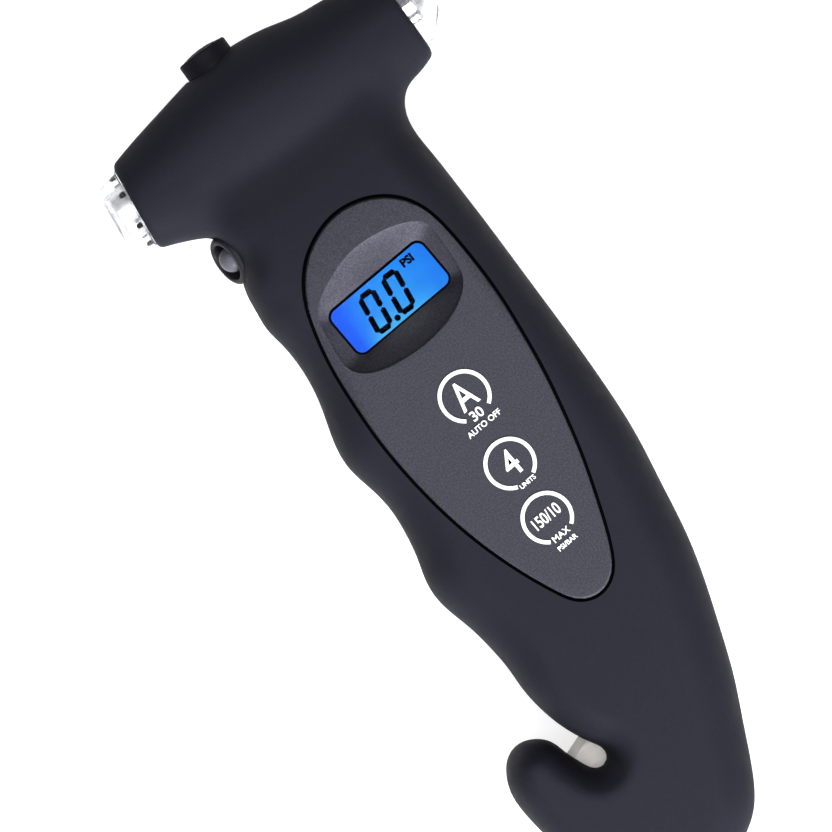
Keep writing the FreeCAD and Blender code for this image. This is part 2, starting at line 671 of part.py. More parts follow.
def housing_screws():
    for x, y in screw_places:
        head = z_cyl(screw_head_radius, x, y, screw_seat_z - 1.6, screw_seat_z - 0.02)
        head = head.fuse(z_cyl(screw_radius, x, y, screw_seat_z - 0.1, screw_end_z))
        slot_z = screw_seat_z - 1.6
        for half_x, half_y in ((1.4, 0.3), (0.3, 1.4)):
            head = head.cut(box(x - half_x, x + half_x, y - half_y, y + half_y, slot_z - 1, slot_z + 0.8))
        keep("housing_screws", head.removeSplitter())


def conical_spring(x, y, length, way):
    """Battery spring that narrows as it leaves its plate, along Y."""
    turns = 4
    helix = Part.makeHelix((length - 2 * spring_wire) / turns, length - 2 * spring_wire, 3.4, -12.0)
    start = helix.Edges[0].valueAt(helix.Edges[0].FirstParameter)
    ring = Part.Wire([Part.Circle(start, Y_AXIS, spring_wire).toShape()])
    coil = Part.Wire(helix.Edges).makePipeShell([ring], True, True)
    coil.translate(V(0, 0, spring_wire))
    coil.rotate(V(0, 0, 0), X_AXIS, -90 if way > 0 else 90)
    coil.translate(V(x, y, cell_z))
    return coil.Solids[0] if coil.Solids else Part.Solid(coil)


def batteries():
    """Two cells in series, head to tail, with their plates and springs."""
    stand = contact_sheet + contact_dimple
    for x, way in zip(cell_x, (1, -1)):
        plus = bay_y[1] - stand if way > 0 else bay_y[0] + stand
        body_end = plus - way * cell_nub[1]
        minus = plus - way * cell_length
        cell = y_cyl(cell_radius, x, min(body_end, minus), max(body_end, minus), z=cell_z)
        rims = [e for e in cell.Edges if e.BoundBox.YLength < 0.01]
        cell = cell.makeFillet(0.5, rims)
        keep("battery_cells", cell.fuse(y_cyl(cell_nub[0], x, min(plus, body_end), max(plus, body_end),
                                              z=cell_z)).removeSplitter())
        wall_y = bay_y[0] + contact_sheet if way > 0 else bay_y[1] - contact_sheet
        length = abs(minus - wall_y) - 0.1
        keep("battery_springs", conical_spring(x, wall_y + way * 0.05, length, way))
        # dimple that meets the positive end
        base = bay_y[1] if way > 0 else bay_y[0]
        dimple = Part.makeCone(2.4, 1.5, contact_dimple - 0.05, V(x, base - way * contact_sheet, cell_z),
                               V(0, -way, 0))
        if way > 0:
            sheet = box(x - 5.2, x + 4.9, base - contact_sheet, base, *plate_z)
            tab = box(x - 5.2, x - 2.6, base - contact_sheet, base, plate_z[0], plate_tab_z)
            keep("battery_plates", fused([sheet, tab, dimple]))
            x = cell_x[1]
            sheet = box(x - 4.9, x + 5.2, base - contact_sheet, base, *plate_z)
            tab = box(x + 2.6, x + 5.2, base - contact_sheet, base, plate_z[0], plate_tab_z)
            keep("battery_plates", fused([sheet, tab]))
        else:
            sheet = box(cell_x[0] - 5.0, cell_x[1] + 5.0, base, base + contact_sheet, *plate_z)
            keep("battery_plates", fused([sheet, dimple]))


def door():
    """Battery door, with two tongues under the shell at one end and a latch at the other."""
    y0, y1 = door_y
    plate_part = box(handle_x - door_half_width, handle_x + door_half_width, y0, y1, *door_z)
    pieces = [plate_part]
    for side in (-1, 1):
        x = handle_x + side * 6.0
        pieces.append(box(x - 2.5, x + 2.5, y1 - 1.7, y1 + door_tongue, door_z[1] + 0.15, door_z[1] + 1.4))
        pieces.append(box(x - 2.5, x + 2.5, y1 - 1.7, y1, door_z[1] - 0.5, door_z[1] + 1.4))
    pieces.append(box(handle_x - 4, handle_x + 4, bay_y[0] + 0.4, bay_y[0] + 1.2, 1.0, door_tab_z))
    solid = fused(pieces)
    # thumb grip
    for i in range(5):
        y = y0 + 3.2 + 1.5 * i
        half = 5.5 - 0.8 * i
        solid = solid.cut(box(handle_x - half, handle_x + half, y, y + 0.7, -1, door_z[0] + 0.45))
    keep("battery_door", solid)


def lead(radius, *points):
    """Wire along a smooth path."""
    curve = Part.BSplineCurve()
    curve.interpolate(list(points))
    start, way = curve.value(curve.FirstParameter), curve.tangent(curve.FirstParameter)[0]
    ring = Part.Wire([Part.Circle(start, way, radius).toShape()])
    return Part.Wire([curve.toShape()]).makePipeShell([ring], True, True)


def leads():
    """Wires from the battery plates and from the sensor to the main board."""
    for x in (cell_x[0] - 3.9, cell_x[1] + 3.9):
        keep("battery_leads", lead(0.45, V(x, bay_y[1] - 0.2, plate_tab_z + 0.6), V(x, 22.6, 14.9),
                                   V(x, 24.4, board_z[0] - 0.35)))
    for i in range(4):
        start = V(sensor_back_x + 0.02, 62.0 + 1.2 * i, 15.0)
        end = V(-6.0 + 1.2 * i, 50.52, (board_z[0] + board_z[1]) / 2)
        bend = V(end.x - 0.5, start.y - 2.4 - 0.3 * i, 15.6)
        keep("sensor_leads", lead(0.4, start, start + V(0.9 + 0.5 * i, -0.15, 0.05), bend,
                                  end + V(0, 3.0, -0.3), end))


def build():
    os.makedirs("parts", exist_ok=True)
    front_panel()
    display()
    main_board()
    nozzle()
    glass_breaker()
    lamp_button()
    trigger()
    cutter()
    batteries()
    door()
    housing_screws()
    leads()
    housing()
    for name, solids in parts.items():
        shape = solids[0] if len(solids) == 1 else Part.makeCompound(solids)
        for solid in solids:
            if not solid.isValid() or solid.Volume <= 0:
                print("BAD", name, solid.Volume)
        shape.exportStep(f"parts/{name}.step")
    print(len(parts), "nodes")


build()
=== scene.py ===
"""Looks of the digital tyre pressure gauge: rubber-coated shells, panel, lit display, head fittings.

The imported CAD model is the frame. Lengths are metres, and MM turns millimetres into them. The gauge
lies on its back: +Z is the way its display faces, +Y up the handle and +X the display's right.
"""
import json
import math

import bmesh
import bpy
import numpy as np
from mathutils import Matrix, Vector


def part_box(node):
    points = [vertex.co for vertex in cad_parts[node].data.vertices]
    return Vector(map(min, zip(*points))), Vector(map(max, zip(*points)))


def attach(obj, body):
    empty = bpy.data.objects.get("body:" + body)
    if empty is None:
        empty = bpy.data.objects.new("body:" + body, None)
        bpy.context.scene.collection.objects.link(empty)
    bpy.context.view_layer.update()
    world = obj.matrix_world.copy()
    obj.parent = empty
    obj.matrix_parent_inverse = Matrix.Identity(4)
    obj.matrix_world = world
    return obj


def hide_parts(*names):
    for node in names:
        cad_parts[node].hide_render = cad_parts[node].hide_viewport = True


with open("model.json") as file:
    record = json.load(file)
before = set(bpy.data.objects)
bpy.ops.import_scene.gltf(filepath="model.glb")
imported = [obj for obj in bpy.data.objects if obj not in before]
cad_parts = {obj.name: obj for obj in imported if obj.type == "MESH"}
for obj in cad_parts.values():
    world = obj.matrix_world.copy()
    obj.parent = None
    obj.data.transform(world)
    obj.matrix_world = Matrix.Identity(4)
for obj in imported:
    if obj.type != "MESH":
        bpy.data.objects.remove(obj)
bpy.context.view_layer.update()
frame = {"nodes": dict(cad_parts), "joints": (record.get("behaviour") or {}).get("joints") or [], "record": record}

MM = 0.001


def node_box(name):
    """A CAD node's corners in millimetres."""
    low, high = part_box(name)
    return np.array(low) / MM, np.array(high) / MM


# ---- shape of the shells (millimetres) -----------------------------
HALF_DEPTH = node_box("front_shell")[1][2] / 2
PART_Z = HALF_DEPTH             # plane in which the shells meet
HEAD_Y = 68.0                   # axis of the head
FACE_LEFT = -27.7               # nozzle end of the head
FACE_RIGHT = 29.1               # hammer end of the head
HEAD_MIDDLE = (FACE_LEFT + FACE_RIGHT) / 2
HEAD_REACH = (FACE_RIGHT - FACE_LEFT) / 2
HEAD_DEPTH = 11.2               # half depth of the head at its middle
NOZZLE_LEAN = 0.105             # slope of the nozzle's face
WALL = 2.2
FACE_EDGE = 0.9                 # rounding of the head's two end faces
SHELL_GAP = 0.05
CAVITY_LOW_Y = -43.5
CAVITY_TOP_Z = 22.4
POCKET_FLOOR = 23.5             # under the panel

# the shells' outline, with the head's ends run out past their faces
SILHOUETTE = [
    (52.0, 70.5), (46.0, 72.0), (40.0, 73.6), (34.5, 75.0), (29.2, 76.2), (23.5, 77.2), (18.1, 77.9),
    (13.4, 78.45), (8.3, 79.7), (4.0, 80.4), (-1.0, 80.7), (-5.6, 80.4), (-9.3, 79.8), (-14.7, 78.7),
    (-20.0, 77.6), (-25.4, 76.3), (-31.0, 74.7), (-37.0, 73.0), (-44.0, 71.2), (-52.0, 69.5),
    (-52.0, 65.0), (-44.0, 63.8), (-37.0, 62.4), (-31.0, 60.9), (-27.7, 59.9), (-24.6, 58.7),
    (-22.0, 57.5), (-20.15, 56.2), (-19.3, 53.6), (-18.9, 50.6), (-19.8, 47.8), (-20.8, 45.1),
    (-21.3, 41.5), (-21.6, 38.1), (-21.1, 34.6), (-20.8, 31.0), (-20.9, 27.5), (-21.6, 23.0),
    (-22.8, 18.7), (-23.9, 14.6), (-24.2, 10.4), (-23.5, 6.6), (-22.8, 3.0), (-22.6, -0.6),
    (-22.9, -4.0), (-23.8, -8.9), (-24.9, -12.9), (-25.15, -16.4), (-24.4, -20.4), (-23.4, -24.2),
    (-22.7, -28.5), (-22.3, -33.0), (-22.35, -37.4), (-21.9, -41.8), (-21.0, -45.6), (-19.6, -49.2),
    (-18.0, -52.1), (-17.2, -53.7), (-17.35, -55.2), (-18.4, -56.2), (-20.15, -56.2), (-21.3, -55.1),
    (-22.05, -53.5), (-23.1, -50.8), (-24.0, -47.9), (-26.2, -45.7), (-28.9, -44.9), (-31.4, -45.7),
    (-33.2, -47.7), (-34.35, -50.4), (-34.65, -54.0), (-34.1, -59.0), (-33.0, -65.6), (-30.9, -71.6),
    (-27.7, -76.5), (-23.4, -80.2), (-18.0, -82.6), (-12.6, -82.6), (-7.6, -80.6), (-3.15, -77.7),
    (0.8, -72.1), (4.4, -64.5), (7.9, -56.8), (10.8, -48.8), (13.5, -40.6), (15.7, -32.1),
    (17.2, -23.0), (18.6, -13.9), (19.25, -4.2), (19.4, 8.4), (19.3, 18.5), (19.15, 31.4),
    (18.9, 40.0), (18.65, 46.0), (18.5, 51.0), (19.2, 54.2), (20.6, 56.4), (22.6, 57.8),
    (25.3, 58.4), (29.2, 59.7), (34.5, 61.4), (40.0, 62.6), (46.0, 63.8), (52.0, 65.0),
]

# middle of the black groove round the panel
GROOVE = [
    (-1.8, 46.9), (2.4, 46.8), (6.6, 45.3), (10.1, 42.4), (12.3, 38.4), (13.2, 34.1), (13.6, 29.8),
    (13.8, 25.6), (13.8, 19.3), (13.35, 13.1), (12.4, 4.8), (10.9, -3.4), (9.0, -11.5),
    (6.6, -19.3), (3.7, -27.0), (1.5, -30.3), (-2.1, -31.9), (-5.8, -30.7), (-8.2, -27.3),
    (-11.6, -19.6), (-14.2, -11.7), (-16.0, -3.6), (-17.1, 4.7), (-17.5, 12.0), (-17.3, 19.0),
    (-16.8, 25.5), (-15.2, 33.6), (-13.9, 37.4), (-12.0, 40.7), (-9.4, 43.5), (-6.0, 45.6),
]
GROOVE_HALF = 0.28              # half its width


def evenly(loop, count):
    """Points spread evenly along a closed polygon."""
    closed = np.vstack([loop, loop[:1]])
    length = np.concatenate([[0], np.cumsum(np.linalg.norm(np.diff(closed, axis=0), axis=1))])
    want = np.linspace(0, length[-1], count, endpoint=False)
    return np.stack([np.interp(want, length, closed[:, k]) for k in (0, 1)], axis=1)


def spline_loop(points, count):
    """Evenly spaced points on a closed cubic spline through the given ones."""
    p = np.array(points, float)
    n = len(p)
    chord = np.linalg.norm(np.roll(p, -1, 0) - p, axis=1)
    matrix = np.zeros((n, n))
    right = np.zeros((n, 2))
    for i in range(n):
        a, b = chord[i - 1], chord[i]
        matrix[i, i - 1] = b
        matrix[i, i] = 2 * (a + b)
        matrix[i, (i + 1) % n] = a
        right[i] = 3 * (b * (p[i] - p[i - 1]) / a + a * (p[(i + 1) % n] - p[i]) / b)
    slope = np.linalg.solve(matrix, right)
    dense = []
    for i in range(n):
        t = np.linspace(0, 1, 24, endpoint=False)[:, None]
        q, m0, m1 = p[(i + 1) % n], slope[i] * chord[i], slope[(i + 1) % n] * chord[i]
        dense.append((2 * t**3 - 3 * t**2 + 1) * p[i] + (t**3 - 2 * t**2 + t) * m0
                     + (3 * t**2 - 2 * t**3) * q + (t**3 - t**2) * m1)
    return evenly(np.vstack(dense), count)


def smooth_step(low, high, value):
    t = np.clip((value - low) / (high - low), 0, 1)
    return t * t * (3 - 2 * t)


# distance inside the silhouette, on a grid, smoothed a little
GRID = 0.5
BLUR = 0.45
GROWTH = 0.2                    # makes up for what the smoothing takes off the corners
GRID_LOW = np.array([-40.0, -89.0])
GRID_COUNT = (152, 354)


def distance_field(loop):
    """Signed distance to a closed loop, positive inside, on the grid."""
    xs = GRID_LOW[0] + GRID * np.arange(GRID_COUNT[0])
    ys = GRID_LOW[1] + GRID * np.arange(GRID_COUNT[1])
    px, py = [a.ravel() for a in np.meshgrid(xs, ys, indexing="ij")]
    a, b = loop, np.roll(loop, -1, 0)
    best = np.full(px.shape, 1e9)
    inside = np.zeros(px.shape, bool)
    for (ax, ay), (bx, by) in zip(a, b):
        dx, dy = bx - ax, by - ay
        t = np.clip(((px - ax) * dx + (py - ay) * dy) / (dx * dx + dy * dy), 0, 1)
        best = np.minimum(best, (px - ax - t * dx) ** 2 + (py - ay - t * dy) ** 2)
        if ay != by:
            inside ^= ((ay > py) != (by > py)) & (px < ax + dx * (py - ay) / dy)
    field = np.sqrt(best) * np.where(inside, 1, -1)
    return field.reshape(GRID_COUNT)


def blurred(field, sigma):
    """The grid field under a Gaussian."""
    reach = int(3 * sigma / GRID) + 1
    taps = np.exp(-0.5 * (np.arange(-reach, reach + 1) * GRID / sigma) ** 2)
    taps /= taps.sum()
    for axis in (0, 1):
        padded = np.pad(field, [(reach, reach) if k == axis else (0, 0) for k in (0, 1)], "edge")
        field = sum(w * np.take(padded, np.arange(field.shape[axis]) + i, axis)
                    for i, w in enumerate(taps))
    return field


def cubic_weights(t):
    """Weights of four neighbours on a cubic through the middle two."""
    return [-0.5 * t**3 + t**2 - 0.5 * t, 1.5 * t**3 - 2.5 * t**2 + 1,
            -1.5 * t**3 + 2 * t**2 + 0.5 * t, 0.5 * t**3 - 0.5 * t**2]


def sample(field, x, y):
    """Smooth cubic lookup in a grid field."""
    u = np.clip((x - GRID_LOW[0]) / GRID, 1, GRID_COUNT[0] - 3.001)
    v = np.clip((y - GRID_LOW[1]) / GRID, 1, GRID_COUNT[1] - 3.001)
    i, j = u.astype(int), v.astype(int)
    wu, wv = cubic_weights(u - i), cubic_weights(v - j)
    return sum(wu[a] * wv[b] * field[i + a - 1, j + b - 1] for a in range(4) for b in range(4))


silhouette = spline_loop(SILHOUETTE, 900)
inside_field = blurred(distance_field(silhouette), BLUR)


def section(x, y):
    """Edge rounding and half depths, front and back, at a place in the outline."""
    # the head tapers from its middle to its two faces
    head = smooth_step(52, 66, y)
    reach = np.clip(np.abs(x - HEAD_MIDDLE) / HEAD_REACH, 0, 1.3)
    head_depth = HEAD_DEPTH - 3.2 * reach**1.7
    head_round = np.clip(12.5 - 4.6 * reach**1.3, 6, 13)
    # the front falls towards the neck and the foot, and dips before the head's barrel
    above, below = np.clip(y - 36, 0, 60) / 30, np.clip(-30 - y, 0, 60) / 54
    handle = HALF_DEPTH - 5.5 * above**2 - 4.4 * below**2
    roll = np.clip(HEAD_Y - y, 0, 11.5) / 12.5 * smooth_step(22, 15, np.abs(x))
    barrel = np.where(y > 52, head_depth * np.sqrt(1 - roll**2), 0)
    front = 0.5 * (handle + barrel + np.hypot(handle - barrel, 1.4)) - 0.15
    # the back is flat along most of the handle
    above, below = np.clip(y - 40, 0, 60) / 30, np.clip(-58 - y, 0, 60) / 26
    back = (HALF_DEPTH - 3.8 * above**2 - 3.6 * below**2) * (1 - head) + head_depth * head
    # edges are tighter round the belt slot and beside the trigger
    near_slot = smooth_step(0, -18, x) * smooth_step(-24, -48, y)
    near_trigger = smooth_step(-9, -16, x) * smooth_step(38, 46, y) * smooth_step(62, 55, y)
    round_front = 8.0 - 2.6 * near_slot - 2.0 * near_trigger
    round_back = 6.2 - 1.2 * near_slot
    return (round_front * (1 - head) + head_round * head,
            round_back * (1 - head) + head_round * head, front, back)


def body_field(x, y, z, shrink=0.0):
    """Below zero inside the gauge's outer surface, shrunk by a wall."""
    depth = sample(inside_field, x, y) + GROWTH - shrink
    round_front, round_back, front, back = section(x, y)
    up = z - PART_Z
    reach = np.where(up > 0, round_front, round_back) - 0.4 * shrink
    half = np.where(up > 0, front, back) - shrink
    rise = np.clip(depth / reach, -4, 1)
    side = (np.sqrt((1 - rise) ** 2 + (up / half) ** 2) - 1) * reach
    face_left = FACE_LEFT + NOZZLE_LEAN * (y - HEAD_Y)
    ends = np.where(y > 35, np.maximum(x - FACE_RIGHT, face_left - x) + shrink, -50)
    return (np.minimum(np.maximum(side, ends), -FACE_EDGE)
            + np.hypot(np.maximum(side + FACE_EDGE, 0), np.maximum(ends + FACE_EDGE, 0)))


def cavity_field(x, y, z):
    """Below zero in the hollow, which ends above the slot and under the panel."""
    inner = body_field(x, y, z, WALL)
    return np.maximum(np.maximum(inner, CAVITY_LOW_Y - y), z - CAVITY_TOP_Z)


def front_height(x, y):
    """Height of the front surface."""
    depth = sample(inside_field, x, y) + GROWTH
    reach, _, front, _ = section(x, y)
    rise = np.clip(depth / reach, 0, 1)
    return PART_Z + front * np.sqrt(np.clip(1 - (1 - rise) ** 2, 0, 1))


def surface_nets(field, low, count, step):
    """Vertices and quads of the field's zero surface."""
    axes = [low[k] + step * np.arange(count[k]) for k in range(3)]
    x, y = np.meshgrid(axes[0], axes[1], indexing="ij")
    values = np.stack([field(x, y, np.full_like(x, z)) for z in axes[2]], axis=2)
    corners = [(a, b, c) for a in (0, 1) for b in (0, 1) for c in (0, 1)]
    cells = tuple(n - 1 for n in count)

    def corner(a, b, c):
        return values[a:a + cells[0], b:b + cells[1], c:c + cells[2]]

    below = sum((corner(*c) < 0).astype(np.int8) for c in corners)
    active = (below > 0) & (below < 8)
    index = np.full(cells, -1, np.int64)
    index[active] = np.arange(active.sum())
    total = np.zeros((active.sum(), 3))
    hits = np.zeros(active.sum())
    for c0 in corners:
        for axis in range(3):
            if c0[axis]:
                continue
            c1 = tuple(1 if k == axis else c0[k] for k in range(3))
            v0, v1 = corner(*c0)[active], corner(*c1)[active]
            cross = (v0 < 0) != (v1 < 0)
            t = np.where(cross, v0 / np.where(cross, v0 - v1, 1), 0)
            place = np.array(c0, float)[None, :].repeat(len(t), 0)
            place[:, axis] = t
            total += place * cross[:, None]
            hits += cross
    where = np.argwhere(active)
    verts = np.array(low) + step * (where + total / hits[:, None])
    quads = []
    for axis in range(3):
        u, v = [(1, 2), (2, 0), (0, 1)][axis]
        places = np.argwhere(np.diff(values < 0, axis=axis))
        places = places[(places[:, u] > 0) & (places[:, v] > 0)
                        & (places[:, u] < cells[u]) & (places[:, v] < cells[v])]
        inside = values[tuple(places.T)] < 0
        ring = []
        for du, dv in ((-1, -1), (0, -1), (0, 0), (-1, 0)):
            q = places.copy()
            q[:, u] += du
            q[:, v] += dv
            ring.append(index[tuple(q.T)])
        ring = np.stack(ring, axis=1)
        ring[~inside] = ring[~inside][:, ::-1]
        quads.append(ring)
    return verts, np.vstack(quads)


def settle(field, verts, rounds=3):
    """Moves the vertices onto the field's zero surface."""
    e = 0.02
    for _ in range(rounds):
        value = field(*verts.T)
        slope = np.stack([field(*(verts + d).T) - field(*(verts - d).T) for d in e * np.eye(3)], axis=1)
        slope /= 2 * e
        size = np.maximum((slope**2).sum(1), 0.05)
        verts = verts - np.clip(value / size, -0.5, 0.5)[:, None] * slope
    return verts


def mesh_object(name, verts, faces, smooth=True):
    """Object from vertices in millimetres."""
    mesh = bpy.data.meshes.new(name)
    mesh.from_pydata([tuple(v) for v in np.asarray(verts, float) * MM], [], [tuple(f) for f in faces])
    mesh.validate()
    mesh.update()
    obj = bpy.data.objects.new(name, mesh)
    bpy.context.scene.collection.objects.link(obj)
    if smooth:
        mesh.polygons.foreach_set("use_smooth", [True] * len(mesh.polygons))
    return obj


# ---- small building blocks -----------------------------------------
def prisms(name, loops, z0, z1):
    """Upright prisms over closed loops of (x, y), as one object."""
    verts, faces = [], []
    for loop in loops:
        n, start = len(loop), len(verts)
        x, y = np.array(loop).T
        if (x * np.roll(y, -1) - y * np.roll(x, -1)).sum() < 0:
            loop = loop[::-1]
        verts += [(x, y, z0) for x, y in loop] + [(x, y, z1) for x, y in loop]
        faces.append([start + i for i in range(n)][::-1])
        faces.append([start + n + i for i in range(n)])
        faces += [(start + i, start + (i + 1) % n, start + n + (i + 1) % n, start + n + i)
                  for i in range(n)]
    return mesh_object(name, verts, faces, smooth=False)


def block(name, x0, x1, y0, y1, z0, z1):
    return prisms(name, [[(x0, y0), (x1, y0), (x1, y1), (x0, y1)]], z0, z1)


def face_outwards(obj):
    """Turns every face of a closed mesh outwards."""
    bm = bmesh.new()
    bm.from_mesh(obj.data)
    bmesh.ops.recalc_face_normals(bm, faces=bm.faces)
    bm.to_mesh(obj.data)
    bm.free()
    return obj


def lathe(name, profile, origin, axis, segments=72, smooth=True):
    """Turned solid; its profile of (along, radius) is a loop, or has radius 0 at both ends."""
    axis = Vector(axis).normalized()
    side = axis.orthogonal().normalized()
    other = axis.cross(side)
    origin = Vector(origin)
    verts, rings = [], []
    closed = tuple(profile[0]) == tuple(profile[-1])
    for along, radius in profile[:-1] if closed else profile:
        centre = origin + axis * along
        if radius < 1e-6:
            rings.append([len(verts)])
            verts.append(centre)
            continue
        rings.append(list(range(len(verts), len(verts) + segments)))
        for i in range(segments):
            a = 2 * math.pi * i / segments
            verts.append(centre + side * (radius * math.cos(a)) + other * (radius * math.sin(a)))
    if closed:
        rings.append(rings[0])
    faces = []
    for low, high in zip(rings, rings[1:]):
        for i in range(segments):
            j = (i + 1) % segments
            face = [low[i % len(low)], low[j % len(low)], high[j % len(high)], high[i % len(high)]]
            face = list(dict.fromkeys(face))
            if len(face) > 2:
                faces.append(face)
    return face_outwards(mesh_object(name, verts, faces, smooth))


def rod(name, radius, start, end, segments=72):
    start, end = Vector(start), Vector(end)
    length = (end - start).length
    return lathe(name, [(0, 0), (0, radius), (length, radius), (length, 0)], start, end - start,
                 segments, smooth=False)


def head_rod(name, radius, x0, x1):
    """Rod on the head's axis."""
    return rod(name, radius, (x0, HEAD_Y, PART_Z), (x1, HEAD_Y, PART_Z), 96)


def carve(obj, cutters):
    """Cuts with each cutter in turn and removes it."""
    for cutter in cutters:
        step = obj.modifiers.new("cut", "BOOLEAN")
        step.operation = "DIFFERENCE"
        step.solver = "MANIFOLD"
        step.object = cutter
        bpy.context.view_layer.update()
        graph = bpy.context.evaluated_depsgraph_get()
        mesh = bpy.data.meshes.new_from_object(obj.evaluated_get(graph))
        obj.modifiers.clear()
        old = obj.data
        obj.data = mesh
        bpy.data.meshes.remove(old)
        bpy.data.objects.remove(cutter)
    return obj


def shade_by_angle(obj, degrees=32):
    """Smooth faces, with edges sharper than the angle kept crisp."""
    bm = bmesh.new()
    bm.from_mesh(obj.data)
    limit = math.radians(degrees)
    for face in bm.faces:
        face.smooth = True
    for edge in bm.edges:
        if len(edge.link_faces) == 2:
            edge.smooth = edge.calc_face_angle(0) < limit
    bm.to_mesh(obj.data)
    bm.free()
    return obj


def piece(obj, body, material, replaces=()):
    """Gives a piece its material, its body and the CAD nodes that it stands for."""
    obj.data.materials.clear()
    obj.data.materials.append(material)
    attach(obj, body)
    if replaces:
        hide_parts(*replaces)
    return obj


# ---- materials -----------------------------------------------------
def srgb(r, g, b):
    """Linear colour from everyday 0 to 255 values."""
    def linear(c):
        c /= 255
        return c / 12.92 if c <= 0.04045 else ((c + 0.055) / 1.055) ** 2.4
    return (linear(r), linear(g), linear(b), 1.0)


def grey(level):
    return (level, level, level, 1)


class Surface:
    """Node material on object coordinates, with helpers for colour, roughness and bump."""

    def __init__(self, name, roughness=0.5, metallic=0.0, specular=0.5, **sockets):
        self.material = bpy.data.materials.new(name)
        self.material.use_nodes = True
        self.tree = self.material.node_tree
        self.shader = self.tree.nodes["Principled BSDF"]
        sockets.update(Roughness=roughness, Metallic=metallic, Specular_IOR_Level=specular)
        for key, value in sockets.items():
            self.shader.inputs[key.replace("_", " ")].default_value = value
        self.place = self.tree.nodes.new("ShaderNodeTexCoord").outputs["Object"]
        self.height = None

    def node(self, kind, **values):
        """Adds a node and sets its properties."""
        node = self.tree.nodes.new(kind)
        for key, value in values.items():
            if hasattr(node, key):
                setattr(node, key, value)
            else:
                node.inputs[key.replace("_", " ").title()].default_value = value
        return node

    def link(self, source, target):
        self.tree.links.new(source, target)

    def noise(self, per_mm, detail=4.0, roughness=0.6, stretch=(1, 1, 1)):
        """Noise with so many features to the millimetre."""
        mapping = self.node("ShaderNodeMapping", scale=[s * per_mm / MM for s in stretch])
        self.link(self.place, mapping.inputs["Vector"])
        noise = self.node("ShaderNodeTexNoise", scale=1.0, detail=detail, roughness=roughness)
        self.link(mapping.outputs["Vector"], noise.inputs["Vector"])
        return noise.outputs["Fac"]

    def ramp(self, source, stops):
        ramp = self.node("ShaderNodeValToRGB")
        elements = ramp.color_ramp.elements
        while len(elements) < len(stops):
            elements.new(0.5)
        for element, (position, colour) in zip(elements, stops):
            element.position = position
            element.color = colour
        self.link(source, ramp.inputs["Fac"])
        return ramp.outputs["Color"]

    def colour(self, source, stops):
        self.link(self.ramp(source, stops), self.shader.inputs["Base Color"])
        return self

    def gloss(self, source, low, high):
        ramp = self.ramp(source, [(0.3, grey(low)), (0.7, grey(high))])
        self.link(ramp, self.shader.inputs["Roughness"])
        return self

    def bump(self, source, height_mm):
        """Relief of so many millimetres, on top of any added before."""
        bump = self.node("ShaderNodeBump", distance=height_mm * MM)
        self.link(source, bump.inputs["Height"])
        if self.height is not None:
            self.link(self.height, bump.inputs["Normal"])
        self.height = bump.outputs["Normal"]
        self.link(self.height, self.shader.inputs["Normal"])
        return self


def plastic(name, dark, light, roughness=(0.4, 0.5), grain=3.0, height=0.01, specular=0.3):
    """Moulded plastic: the colour wanders between two shades over a fine grain."""
    s = Surface(name, specular=specular)
    s.colour(s.noise(0.9 * grain, 4, 0.75), [(0.3, srgb(*dark)), (0.7, srgb(*light))])
    s.gloss(s.noise(0.5, 3), *roughness)
    s.bump(s.noise(grain, 2), height)
    return s.material


def metal(name, dark, light, roughness=(0.2, 0.35), stretch=(1, 1, 1), grain=3.0, height=0.004,
          metallic=1.0):
    """Metal whose fine marks run one way where the noise is stretched."""
    s = Surface(name, metallic=metallic)
    s.colour(s.noise(0.25, 4), [(0.3, srgb(*dark)), (0.7, srgb(*light))])
    s.gloss(s.noise(0.8, 3, stretch=stretch), *roughness)
    s.bump(s.noise(grain, 3, stretch=stretch), height)
    return s.material


def clear(name, tint, roughness=(0.03, 0.12), ior=1.45, height=0.004, specular=0.5):
    """Clear plastic with a faint cloud in its tint and gloss."""
    s = Surface(name, specular=specular, Transmission_Weight=1.0, IOR=ior)
    s.colour(s.noise(0.2, 3), [(0.3, srgb(*tint)), (0.7, (1, 1, 1, 1))])
    s.gloss(s.noise(0.4, 3), *roughness)
    s.bump(s.noise(0.8, 2), height)
    return s.material


def rubber_coat(name):
    """Soft-touch coating: fine dust-like grain and a slightly uneven sheen."""
    s = Surface(name, specular=0.02)
    s.colour(s.noise(2.2, 5, 0.8), [(0.3, srgb(24, 24, 31)), (0.7, srgb(28, 28, 35))])
    s.gloss(s.noise(0.3, 4), 0.5, 0.62)
    s.bump(s.noise(6.0, 2), 0.012)
    s.bump(s.noise(0.35, 3), 0.015)
    return s.material


PAINTED_SHADE_SLOPE = 0.28              # lean of the recess's walls at which the painted light and shade are full
PANEL_GAIN = 1.7


